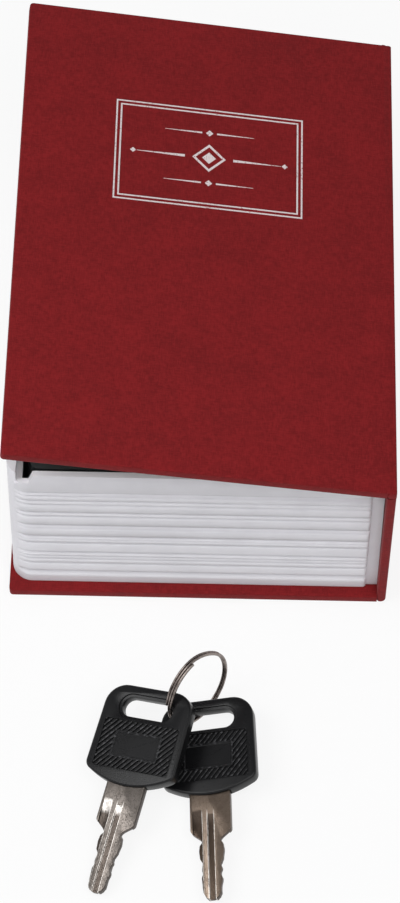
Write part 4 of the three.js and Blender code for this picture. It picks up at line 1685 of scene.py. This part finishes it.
@dataclass(frozen=True)
class Place:
    """Where a key or the ring lies: a point, then three turns in degrees."""

    x: float
    y: float
    z: float
    turn: float
    roll: float
    pitch: float

    def matrix(self) -> Matrix:
        """The place as a matrix in metres.

        Returns:
            The matrix.
        """
        turns = [
            Matrix.Rotation(math.radians(angle), 4, axis)
            for angle, axis in ((self.turn, "Z"), (self.roll, "Y"), (self.pitch, "X"))
        ]
        return Matrix.Translation(Vector((self.x, self.y, self.z)) * MM) @ turns[0] @ turns[1] @ turns[2]


# Depth of the cuts in each edge of the blade, at shares of its length from the shoulder to the tip.
LEFT_CUTS = (
    (0.0, -1.6), (0.17, 0.65), (0.23, 0.1), (0.3, 0.0), (0.4, 0.12), (0.475, 0.67), (0.57, 0.54),
    (0.63, 0.65), (0.68, 0.42), (0.8, 0.53), (0.885, 0.65), (0.95, 1.1), (0.98, 1.5), (1.0, 2.1),
)
RIGHT_CUTS = (
    (0.0, -1.6), (0.17, 0.65), (0.22, 0.15), (0.3, 0.0), (0.42, 0.2), (0.475, 0.48), (0.51, 0.76),
    (0.57, 0.48), (0.64, 0.82), (0.72, 0.44), (0.83, 0.73), (0.895, 0.78), (0.95, 1.15), (0.98, 1.55),
    (1.0, 2.1),
)


@dataclass
class KeyHead:
    """A cam lock key's head: black, with a slot and a ridged border round a plain field."""

    length: float = 21.2
    side: float = 18.1
    top_half: float = 9.65
    half: float = 10.0
    thick: float = 1.5
    rim: float = 0.5
    corner: float = 4.4
    low_corner: float = 1.0
    belly_steps: int = 18
    slot_half: float = 5.65
    slot_top: float = -2.4
    slot_bottom: float = -6.6
    slot_rim: float = 0.13
    slot_flat: float = 0.01
    step: float = 0.6
    step_depth: float = 0.4
    panel_half: float = 8.35
    panel_top: float = -7.6
    panel_bottom: float = -18.0
    panel_corner: float = 0.6
    field_half: float = 5.3
    field_top: float = -9.9
    field_bottom: float = -15.6
    field_corner: float = 0.5
    field_rim: Triple = (0.14, 0.26, 0.12)
    field_sink: float = 0.16
    field_root: float = 0.2
    margin: float = 0.12
    sunk: float = 0.42
    ridge_half: float = 0.22
    ridge_round: float = 0.15
    ridge_reach: float = 11.0
    ridge_pitch: float = 0.86
    ridge_lean: float = 50.0
    ridge_count: int = 20
    dot_x: tuple[float, float] = (8.75, 9.05)
    dot_half: float = 0.16
    dot_start: float = -9.0
    dot_count: int = 7
    dot_root: float = 0.2
    dot_rise: float = 0.08
    dot_round: float = 0.1
    tang: Triple = (4.4, -14.1, 1.0)

    def _slot(self, name: str, margin: float, low: float, high: float) -> Shape:
        """The slot's outline, widened by a margin, as a block.

        Args:
            name: its name.
            margin: how far it is widened.
            low: its lower height.
            high: its upper height.

        Returns:
            The cutter.
        """
        radius = (self.slot_top - self.slot_bottom) / 2 + margin
        near = (-self.slot_half - margin, self.slot_bottom - margin, low)
        shape = Shape.block(name, near, (self.slot_half + margin, self.slot_top + margin, high))
        return shape.edges(upright).bevel(radius - self.slot_flat, 8)

    def _panel(self, name: str, margin: float, low: float, high: float) -> Shape:
        """A block over the ridged panel, kept inside its edges by a margin."""
        near = (-self.panel_half + margin, self.panel_bottom + margin, low)
        return Shape.block(name, near, (self.panel_half - margin, self.panel_top - margin, high))

    def _middle(self, name: str, margin: float, low: float, high: float) -> Shape:
        """A block over the plain field, kept inside its edges by a margin."""
        near = (-self.field_half + margin, self.field_bottom + margin, low)
        return Shape.block(name, near, (self.field_half - margin, self.field_top - margin, high))

    def _blank(self) -> Shape:
        """The head's outline with its rounded rim.

        Returns:
            The blank.
        """
        shape = Shape.block("key_head", (-self.half, -self.side, -self.thick), (self.half, 0, self.thick))
        shape.points(lambda p: p.y > -NEAR).scale((self.top_half / self.half, 1, 1))
        places = [-self.half + 2 * self.half * i / self.belly_steps for i in range(1, self.belly_steps)]
        for x in places:
            shape.all().slice((x, 0, 0), (1, 0, 0))
        belly = self.length - self.side
        for x in places:
            drop = belly * (1 - (x / self.half) ** 2)
            shape.points(lambda p: abs(p.x - x) < NEAR and p.y < -self.side + NEAR).move(y=-drop)
        shape.flat()
        shape.edges(lambda a, b: min(a.y, b.y) > -NEAR and upright(a, b), 40).bevel(self.corner, 9)
        side, foot = self.half - 0.05, -self.side + NEAR
        shape.edges(
            lambda a, b: min(abs(a.x), abs(b.x)) > side and max(a.y, b.y) < foot and upright(a, b)
        ).bevel(self.low_corner, 4)
        shape.flat()
        shape.edges(lambda a, b: level(a, b) and abs(abs(a.z) - self.thick) < NEAR, 40)
        return shape.bevel(self.rim, 4)

    def _ridges(self) -> Shape:
        """Slanting ridges over the sunk border, cut off at its edges.

        Returns:
            All ridges as one piece.
        """
        bars = []
        slant = self.ridge_pitch / math.sin(math.radians(self.ridge_lean))
        middle_y = (self.panel_top + self.panel_bottom) / 2
        low = (-self.ridge_reach, -self.ridge_half, self.thick - self.sunk - self.margin)
        for index in range(-self.ridge_count, self.ridge_count + 1):
            bar = Shape.block("ridge", low, (self.ridge_reach, self.ridge_half, self.thick))
            bar.edges(lambda a, b: min(a.z, b.z) > self.thick - NEAR and abs(a.y - b.y) < NEAR)
            bar.bevel(self.ridge_round, 3)
            bar.all().turn(self.ridge_lean, "Z").move(x=index * slant, y=middle_y)
            bars.append(bar)
        window = self._panel("window", self.margin, 0, 2 * self.thick)
        middle = self._middle("middle", self.margin, 0, 2 * self.thick)
        return bars[0].join(*bars[1:]).keep_inside(window).cut(middle)

    def _field(self) -> Shape:
        """The plain field in the middle with its fine raised edge.

        Returns:
            The field.
        """
        shape = self._middle("field", 0, self.thick - self.sunk - self.field_root, self.thick + NEAR)
        shape.edges(upright).bevel(self.field_corner, 3)
        shape.faces(lambda c, n: n.z > 0.99)
        for width in self.field_rim:
            shape.inset(width)
        return shape.move(z=-self.field_sink)

    def _dots(self) -> list[Shape]:
        """A row of small raised squares beside the panel.

        Returns:
            The squares.
        """
        dots = []
        for index in range(self.dot_count):
            y = self.dot_start - index
            near = (self.dot_x[0], y - self.dot_half, self.thick - self.dot_root)
            far = (self.dot_x[1], y + self.dot_half, self.thick + self.dot_rise)
            dot = Shape.block("dot", near, far)
            dots.append(dot.edges(lambda a, b: min(a.z, b.z) > self.thick).bevel(self.dot_round, 2))
        return dots

    def _flip(self, shape: Shape) -> Shape:
        """A copy for the back face of what is made for the front."""
        other = shape.copy(shape.obj.name + "_back")
        return other.all().turn(180, "Y")

    def build(self) -> Shape:
        """The moulded head.

        Returns:
            The head, its slot's middle near the top of its own Y axis.
        """
        head = self._blank()
        for sign in (1, -1):
            ends = sorted((sign * (self.thick - self.step_depth), sign * (self.thick + PAST)))
            head.cut(self._slot("slot_step", self.step, *ends))
        head.cut(self._slot("slot", 0.0, -2 * self.thick, 2 * self.thick))
        slot_y, slot_x = self.slot_bottom - self.step - NEAR, self.slot_half + self.step + NEAR
        head.edges(
            lambda a, b: slot_y < min(a.y, b.y)
            and max(a.y, b.y) < self.slot_top / 2
            and max(abs(a.x), abs(b.x)) < slot_x
            and level(a, b),
            40,
        ).bevel(self.slot_rim, 2)
        pocket = self._panel("pocket", 0, self.thick - self.sunk, self.thick + PAST)
        pocket.edges(upright).bevel(self.panel_corner, 4)
        head.cut(self._flip(pocket), pocket)
        half, end, thick = self.tang
        head.cut(Shape.block("tang", (-half, -self.length - 2, -thick), (half, end, thick)))
        ridges, field = self._ridges(), self._field()
        return head.tidy().join(ridges, field, self._flip(ridges), self._flip(field), *self._dots())


@dataclass
class KeyBlade:
    """A cam lock key's blade, cut on both edges and milled on both faces."""

    top: float = -14.3
    shoulder: float = 4.2
    shoulder_end: float = -28.6
    shoulder_round: float = 0.3
    half: float = 2.6
    thick: float = 0.8
    length: float = 15.1
    steps: int = 64
    tip_round: float = 0.3
    groove: float = 0.46
    groove_end: float = -46.0
    grooves: tuple[tuple[float, float, float, float], ...] = (
        (-3.72, -1.75, -23.7, 3.6),
        (-0.66, 0.7, -24.9, 2.4),
        (-6.0, -1.75, -29.0, 1.7),
    )
    mill_rise: float = 1.2
    edge_round: float = 0.07

    def build(self) -> Shape:
        """The blade from its tang to its round tip.

        Returns:
            The blade.
        """
        low = (-self.shoulder, self.shoulder_end, -self.thick)
        shape = Shape.block("key_blade", low, (self.shoulder, self.top, self.thick))
        y = self.shoulder_end
        left, right = -self.shoulder, self.shoulder
        for step in range(1, self.steps + 1):
            share = step / self.steps
            next_y = self.shoulder_end - share * self.length
            shape.faces(lambda c, n: n.y < -0.5 and c.y < y + NEAR).extrude(y=next_y - y)
            next_left = curve(LEFT_CUTS, share) - self.half
            next_right = self.half - curve(RIGHT_CUTS, share)
            shape.points(lambda p: p.y < next_y + NEAR / 4 and p.x < 0).move(x=next_left - left)
            shape.points(lambda p: p.y < next_y + NEAR / 4 and p.x > 0).move(x=next_right - right)
            y, left, right = next_y, next_left, next_right
        shape.edges(lambda a, b: max(a.y, b.y) < y + NEAR and upright(a, b)).bevel(self.tip_round, 4)
        side = self.shoulder - NEAR
        shape.edges(
            lambda a, b: min(abs(a.x), abs(b.x)) > side and upright(a, b) and a.y < self.top - NEAR
        ).bevel(self.shoulder_round, 3)
        shape.flat()
        for sign in (1, -1):
            for groove in self.grooves:
                shape.cut(self._mill(sign, *groove))
        return shape.tidy().soften(self.edge_round, 2, 32).tidy()

    def _mill(self, sign: int, x0: float, x1: float, start: float, run: float) -> Shape:
        """One milled groove with its slanting run-out.

        Args:
            sign: 1 for the front and -1 for the back.
            x0: its left side, seen from the front.
            x1: its right side.
            start: where it leaves the face.
            run: length of the run-out.

        Returns:
            The cutter.
        """
        floor = self.thick - self.groove
        top = self.thick + self.mill_rise
        shape = Shape.block("mill", (x0, self.groove_end, floor), (x1, start - run, top))
        shape.faces(lambda c, n: n.y > 0.99).extrude(y=run)
        shape.points(lambda p: p.y > start - NEAR and p.z < floor + NEAR).move(z=self.groove + NEAR)
        shape.outward()
        if sign < 0:
            shape.all().turn(180, "Y")
        return shape


@dataclass
class SplitRing:
    """A ring of wire wound a little over two turns, with a jog before each new turn."""

    place: Place = Place(0.42, -83.664, 9.439, -40.435, 77.186, 0.0)
    radius: float = 8.226
    half_width: float = 0.37
    half_height: float = 0.26
    pitch: float = 0.58
    start: float = 177.0
    jog: float = 55.0
    turns: float = 2.2
    step: float = 5.0
    section_sides: int = 12
    edge_round: float = 0.07

    def _level(self, travel: float) -> float:
        """Height of the wire's middle after so many degrees of travel.

        Args:
            travel: degrees along the wire from its start.

        Returns:
            The height.
        """
        level = self.pitch
        for whole in (1, 2):
            share = (travel - (360 * whole - self.jog)) / self.jog
            share = min(max(share, 0.0), 1.0)
            level -= self.pitch * share * share * (3 - 2 * share)
        return level

    def build(self) -> Shape:
        """Extrudes the wire's section round the winding, one step at a time.

        Returns:
            The ring, where it lies.
        """
        start = math.radians(self.start)
        x, y = self.radius * math.cos(start), self.radius * math.sin(start)
        shape = Shape.disc("ring_wire", (0, 0, 0), 1.0, self.section_sides, (90, 0, 0))
        height = self._level(0)
        shape.all().scale((self.half_width, 1, self.half_height))
        shape.turn(self.start, "Z").move(x=x, y=y, z=height)
        for index in range(1, round(360 * self.turns / self.step) + 2):
            following = self._level(index * self.step)
            shape.extrude().turn(self.step, "Z").move(z=following - height)
            height = following
        shape.outward()
        return shape.soften(self.edge_round, 2, 60).lay(self.place.matrix())


# --------------------------------------------------------------------------------------------
# Studio
# --------------------------------------------------------------------------------------------


@dataclass
class Studio:
    """Camera at the photographed angle, a plain pale floor and soft light."""

    position: Triple = (6.233, -373.468, 571.712)
    yaw: float = -1.049
    pitch: float = 58.317
    roll: float = 0.223
    lens: float = 122.20
    white: float = 1.0
    ambient: float = 0.36
    wall_top: float = 0.35
    ceiling: float = 0.65
    floor_share: float = 0.86
    floor_size: float = 6000.0
    floor_z: float = -0.2
    floor_patch: float = 40.0
    floor_rough: float = 0.9
    floor_tones: tuple[Colour, Colour] = ((0.86, 0.86, 0.86), (0.88, 0.88, 0.88))
    ceiling_tint: Colour = (0.97, 0.98, 1.0)
    aim: Triple = (0, -40, 20)

    def camera(self) -> None:
        """Makes the scene's camera."""
        data = bpy.data.cameras.new("camera")
        data.lens = self.lens
        data.clip_start = 0.05
        obj = bpy.data.objects.new("camera", data)
        bpy.context.scene.collection.objects.link(obj)
        yaw, pitch, roll = (math.radians(a) for a in (self.yaw, self.pitch, self.roll))
        ahead = math.cos(pitch)
        forward = Vector((math.sin(yaw) * ahead, math.cos(yaw) * ahead, -math.sin(pitch)))
        right = Vector((math.cos(yaw), -math.sin(yaw), 0))
        up = right.cross(forward)
        side = math.cos(roll) * right + math.sin(roll) * up
        top = -math.sin(roll) * right + math.cos(roll) * up
        turn = Matrix((side, top, -forward)).transposed().to_4x4()
        obj.matrix_world = Matrix.Translation(Vector(self.position) * MM) @ turn
        bpy.context.scene.camera = obj

    def floor(self) -> None:
        """A pale sheet that shows white to the camera and keeps a soft shadow."""
        Shape.alone()
        bpy.ops.mesh.primitive_plane_add(size=self.floor_size * MM, location=(0, 0, self.floor_z * MM))
        obj = bpy.context.object
        obj.name = "floor"
        paint = Paint("pale_floor")
        tone = paint.mix(paint.noise(self.floor_patch, 2.0), *self.floor_tones)
        paint.end(Base_Color=tone, Roughness=self.floor_rough)
        names = ("Is Camera Ray", "Is Glossy Ray", "Is Transmission Ray")
        rays = [paint.node("LightPath", {}, {}, name) for name in names]
        seen = rays[0].most(rays[1]).most(rays[2])
        glow = paint.node("Emission", {}, {"Color": (1.0, 1.0, 1.0), "Strength": self.white})
        lit = Value(paint, paint.shader.outputs[0])
        mixed = paint.node("MixShader", {}, {0: seen * self.floor_share, 1: lit, 2: glow})
        paint.tree.links.new(mixed.socket, paint.tree.nodes["Material Output"].inputs[0])
        obj.data.materials.append(paint.material)

    def world(self) -> None:
        """A white backdrop where it is seen or mirrored, under a ceiling of soft grey light."""
        world = bpy.data.worlds.new("studio")
        world.use_nodes = True
        bpy.context.scene.world = world
        tree = world.node_tree
        tree.nodes.clear()

        def maths(operation: str, first: Any, second: Any) -> bpy.types.NodeSocket:
            """Adds one Math node.

            Args:
                operation: what it does.
                first: its first socket or number.
                second: its second socket or number.

            Returns:
                Its output.
            """
            made = tree.nodes.new("ShaderNodeMath")
            made.operation = operation
            for socket, value in zip(made.inputs, (first, second)):
                if isinstance(value, bpy.types.NodeSocket):
                    tree.links.new(value, socket)
                else:
                    socket.default_value = value
            return made.outputs[0]

        path = tree.nodes.new("ShaderNodeLightPath").outputs
        seen = maths("MAXIMUM", path["Is Camera Ray"], path["Is Glossy Ray"])
        seen = maths("MAXIMUM", seen, path["Is Transmission Ray"])
        where = tree.nodes.new("ShaderNodeTexCoord").outputs["Generated"]
        parts = tree.nodes.new("ShaderNodeSeparateXYZ")
        tree.links.new(where, parts.inputs[0])
        climb = tree.nodes.new("ShaderNodeMapRange")
        climb.interpolation_type = "SMOOTHSTEP"
        for index, value in enumerate((self.wall_top, self.ceiling, 1.0, 0.0), 1):
            climb.inputs[index].default_value = value
        tree.links.new(parts.outputs[2], climb.inputs[0])
        share = maths("MULTIPLY", seen, climb.outputs[0])
        lights = []
        for colour, strength in ((self.ceiling_tint, self.ambient), ((1.0, 1.0, 1.0), self.white)):
            light = tree.nodes.new("ShaderNodeBackground")
            light.inputs["Color"].default_value = (*colour, 1.0)
            light.inputs["Strength"].default_value = strength
            lights.append(light.outputs[0])
        mix = tree.nodes.new("ShaderNodeMixShader")
        for socket, value in zip(mix.inputs, (share, *lights)):
            tree.links.new(value, socket)
        output = tree.nodes.new("ShaderNodeOutputWorld")
        tree.links.new(mix.outputs[0], output.inputs[0])

    def lamp(self, name: str, place: Triple, size: float, power: float) -> None:
        """One square soft light.

        Args:
            name: its name.
            place: where it hangs.
            size: its side in millimetres.
            power: its power in watts.
        """
        data = bpy.data.lights.new(name, "AREA")
        data.shape = "SQUARE"
        data.size = size * MM
        data.energy = power
        obj = bpy.data.objects.new(name, data)
        bpy.context.scene.collection.objects.link(obj)
        obj.location = Vector(place) * MM
        obj.rotation_euler = (Vector(self.aim) - Vector(place)).to_track_quat("-Z", "Y").to_euler()

    def build(self) -> None:
        """Sets the whole studio up."""
        self.camera()
        self.floor()
        self.world()
        self.lamp("key_light", (-400, -190, 590), size=380, power=2.1)
        self.lamp("front_light", (160, -330, 640), size=480, power=1.85)
        bpy.context.scene.view_settings.view_transform = "Standard"


# --------------------------------------------------------------------------------------------
# The whole safe
# --------------------------------------------------------------------------------------------


class Slot(Enum):
    """The record's material slots."""

    CLOTH = "cover_cloth"
    BOARD = "board"
    PAPER = "endpaper"
    FOIL = "silver_foil"
    PAGES = "page_plastic"
    STEEL = "black_steel"
    ZINC = "zinc_steel"
    LOCK = "lock_nickel"
    KEY = "key_nickel"
    BRASS = "wafer_brass"
    HEAD = "key_plastic"


@dataclass(frozen=True)
class KeyLook:
    """Where one key lies and its metal's colours: plating, tarnish, painted shade in the grooves and
    run-out facets.
    """

    name: str
    place: Place
    plate: Colour
    tarnish: Colour
    # Groove floors: painted shade, also standing for tarnish.
    floor: Colour
    # Run-out facets: light for a painted reflection, as on the left key; dark on the right key.
    facet: Colour


KEY_LOOKS = (
    KeyLook(
        "key_left",
        Place(-8.035, -84.75, 9.885, -18.043, -16.203, 11.6),
        plate=(0.165, 0.146, 0.132),
        tarnish=(0.06, 0.05, 0.043),
        floor=(0.08, 0.066, 0.057),
        # A painted reflection of the lamps on the run-outs.
        facet=(0.76, 0.72, 0.68),
    ),
    KeyLook(
        "key_right",
        Place(2.741, -84.267, 4.156, 2.376, -13.687, 1.329),
        plate=(0.23, 0.178, 0.14),
        tarnish=(0.12, 0.088, 0.067),
        floor=(0.07, 0.051, 0.039),
        facet=(0.09, 0.068, 0.054),
    ),
)


class BookSafe:
    """The safe as it stands in the photograph, piece by piece."""

    def __init__(self) -> None:
        """Mixes every finish once."""
        finishes = {
            Slot.CLOTH: BookCloth("book_cloth"),
            Slot.BOARD: Paper("grey_board", (0.33, 0.28, 0.20), (0.24, 0.20, 0.15), grain=0.4),
            Slot.PAPER: Paper("lining_paper", (0.80, 0.77, 0.69), (0.68, 0.64, 0.55)),
            Slot.FOIL: Foil(),
            Slot.PAGES: MouldedPlastic(
                "page_plastic",
                (0.765, 0.755, 0.79),
                (0.72, 0.71, 0.745),
                roughness=0.42,
                shine=0.4,
                grain=0.3,
            ),
            Slot.STEEL: PowderCoat(),
            Slot.ZINC: PlatedMetal("zinc_plate", (0.62, 0.62, 0.64), (0.42, 0.41, 0.38), roughness=0.3),
            Slot.LOCK: PlatedMetal(
                "lock_nickel", (0.66, 0.64, 0.60), (0.45, 0.42, 0.38), roughness=0.2, stain=0.3
            ),
            Slot.KEY: PlatedMetal(
                "ring_nickel", (0.28, 0.24, 0.22), (0.07, 0.055, 0.05), roughness=0.2, stain=0.8, pits=0.4
            ),
            Slot.BRASS: PlatedMetal("wafer_brass", (0.55, 0.40, 0.14), (0.36, 0.23, 0.07), roughness=0.3),
        }
        self.finish = {slot: finish.material() for slot, finish in finishes.items()}
        self.front_cloth = BookCloth("book_cloth_front", tilt=OPEN_DEGREES).material()

    def dress(self, shape: Shape, body: str, slot: Slot, *nodes: str, smooth: float = SMOOTH) -> Shape:
        """Finishes a piece with its slot's own material."""
        return shape.dress(self.finish[slot], body, slot.value, nodes, smooth)

    def keep(self, node: str, slot: Slot) -> None:
        """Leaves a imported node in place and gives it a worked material.

        Args:
            node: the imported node.
            slot: its material slot.
        """
        obj = frame["nodes"][node]
        obj.data.materials.clear()
        obj.data.materials.append(self.finish[slot])
        log.info("%s: kept from the frame", node)

    def refine(self, node: str, body: str, slot: Slot, width: float, segments: int = 2) -> None:
        """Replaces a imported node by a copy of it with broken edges.

        Args:
            node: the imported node.
            body: the body that it rides on.
            slot: its material slot.
            width: width of the broken edges.
            segments: faces across them.
        """
        shape = Shape.copy_of(node, node + "_fine")
        shape.soften(width, segments, 38)
        self.dress(shape, body, slot, node)

    def covers(self) -> None:
        """Both covers with their stamped frame."""
        back = ClothWrap("back_cover_wrap", edge_x=38.12, inner_z=2.4, outer_z=0.0)
        self.dress(back.hollow(back.blank()), "case", Slot.CLOTH, "back_cloth")
        front = ClothWrap("front_cover_wrap", edge_x=38.1, inner_z=42.6, outer_z=45.0, lap=1.1)
        title = TitlePlace()
        shape = front.hollow(title.press(front.blank()))
        shape.all().turn(OPEN_DEGREES, "Y", FOLD)
        shape.dress(self.front_cloth, "cover", Slot.CLOTH.value, ["front_cloth"])
        ornament = title.ornament()
        ornament.all().turn(OPEN_DEGREES, "Y", FOLD)
        ornament.obj.name = "foil_ornament"
        self.dress(ornament, "cover", Slot.FOIL)
        for node in ("foil_frame_outer", "foil_frame_inner"):
            self.keep(node, Slot.FOIL)
        for node in ("back_board", "spine_board", "front_board"):
            self.keep(node, Slot.BOARD)
        for node in ("back_endpaper", "front_endpaper"):
            self.keep(node, Slot.PAPER)

    def spine(self) -> None:
        """The spine and the fold above it."""
        spine = Spine()
        self.dress(spine.build_cloth(), "case", Slot.CLOTH, "spine_cloth")
        self.dress(spine.build_fold(), "cover_joint", Slot.CLOTH, "hinge_cloth")

    def pages(self) -> None:
        """The moulded page block."""
        self.dress(PageBlock().build(), "case", Slot.PAGES, "page_block", smooth=50)

    def box(self) -> None:
        """Tray, rivets, lid and hinge."""
        self.refine("box_tray", "case", Slot.STEEL, 0.25)
        self.refine("steel_door", "door", Slot.STEEL, 0.3, 3)
        self.refine("hinge_leaf_tray", "case", Slot.STEEL, 0.12)
        self.refine("hinge_leaf_door", "door", Slot.STEEL, 0.12)
        self.refine("hinge_pin", "case", Slot.ZINC, 0.12)
        for index in range(1, 5):
            node = f"box_rivet_{index}"
            low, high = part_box(node)
            middle = (low + high) / 2 / MM
            self.dress(Rivet(node + "_dome").build((middle.x, middle.y)), "case", Slot.ZINC, node)

    def lock(self) -> None:
        """The cam lock in the lid."""
        self.dress(CamLock().build_housing(), "door", Slot.LOCK, "lock_housing")
        self.refine("lock_nut", "door", Slot.ZINC, 0.25)
        self.refine("lock_plug", "plug", Slot.LOCK, 0.12)
        for index in range(1, 6):
            self.refine(f"wafer_{index}", "plug", Slot.BRASS, 0.08)
        for node in ("lock_cam", "cam_washer", "cam_screw"):
            self.refine(node, "plug", Slot.ZINC, 0.14)

    def keys(self) -> None:
        """Both keys, modelled once and copied, and the ring."""
        head, blade = KeyHead().build(), KeyBlade().build()
        for look in KEY_LOOKS:
            self._key(head, blade, look)
        for shape in (head, blade):
            bpy.data.objects.remove(shape.obj)
        self.dress(SplitRing().build(), "ring", Slot.KEY, "split_ring")

    def _key(self, head: Shape, blade: Shape, look: KeyLook) -> None:
        """Copies, lays and dresses one key.

        Args:
            head: the head that is copied.
            blade: the blade that is copied.
            look: where the key lies and how worn its metal is.
        """
        name = look.name
        moulded = head.copy(name + "_grip").lay(look.place.matrix())
        milled = blade.copy(name + "_bit").lay(look.place.matrix())
        plastic = RidgedHead(
            name + "_plastic",
            colour=(0.0065, 0.0065, 0.0072),
            shade=(0.0042, 0.0042, 0.0048),
            roughness=0.27,
            shine=0.26,
            grain=0.25,
            scuff=0.3,
            at=look.place,
        )
        metal = MilledKey(
            name + "_nickel",
            look.plate,
            look.tarnish,
            roughness=0.30,
            stain=0.5,
            pits=1.2,
            hair=(1, 10, 1),
            at=look.place,
            floor=look.floor,
            facet=look.facet,
        )
        moulded.dress(plastic.material(), name, Slot.HEAD.value, [name + "_head"])
        milled.dress(metal.material(), name, Slot.KEY.value, [name + "_blade"], smooth=30)

    def build(self) -> None:
        """Builds every part of the safe in order."""
        self.covers()
        self.spine()
        self.pages()
        self.box()
        self.lock()
        self.keys()


def main() -> None:
    """Builds the studio and the safe."""
    logging.basicConfig(level=logging.INFO, format="%(name)s: %(message)s")
    Studio().build()
    BookSafe().build()
    Shape.alone()


if __name__ == "__main__":
    main()
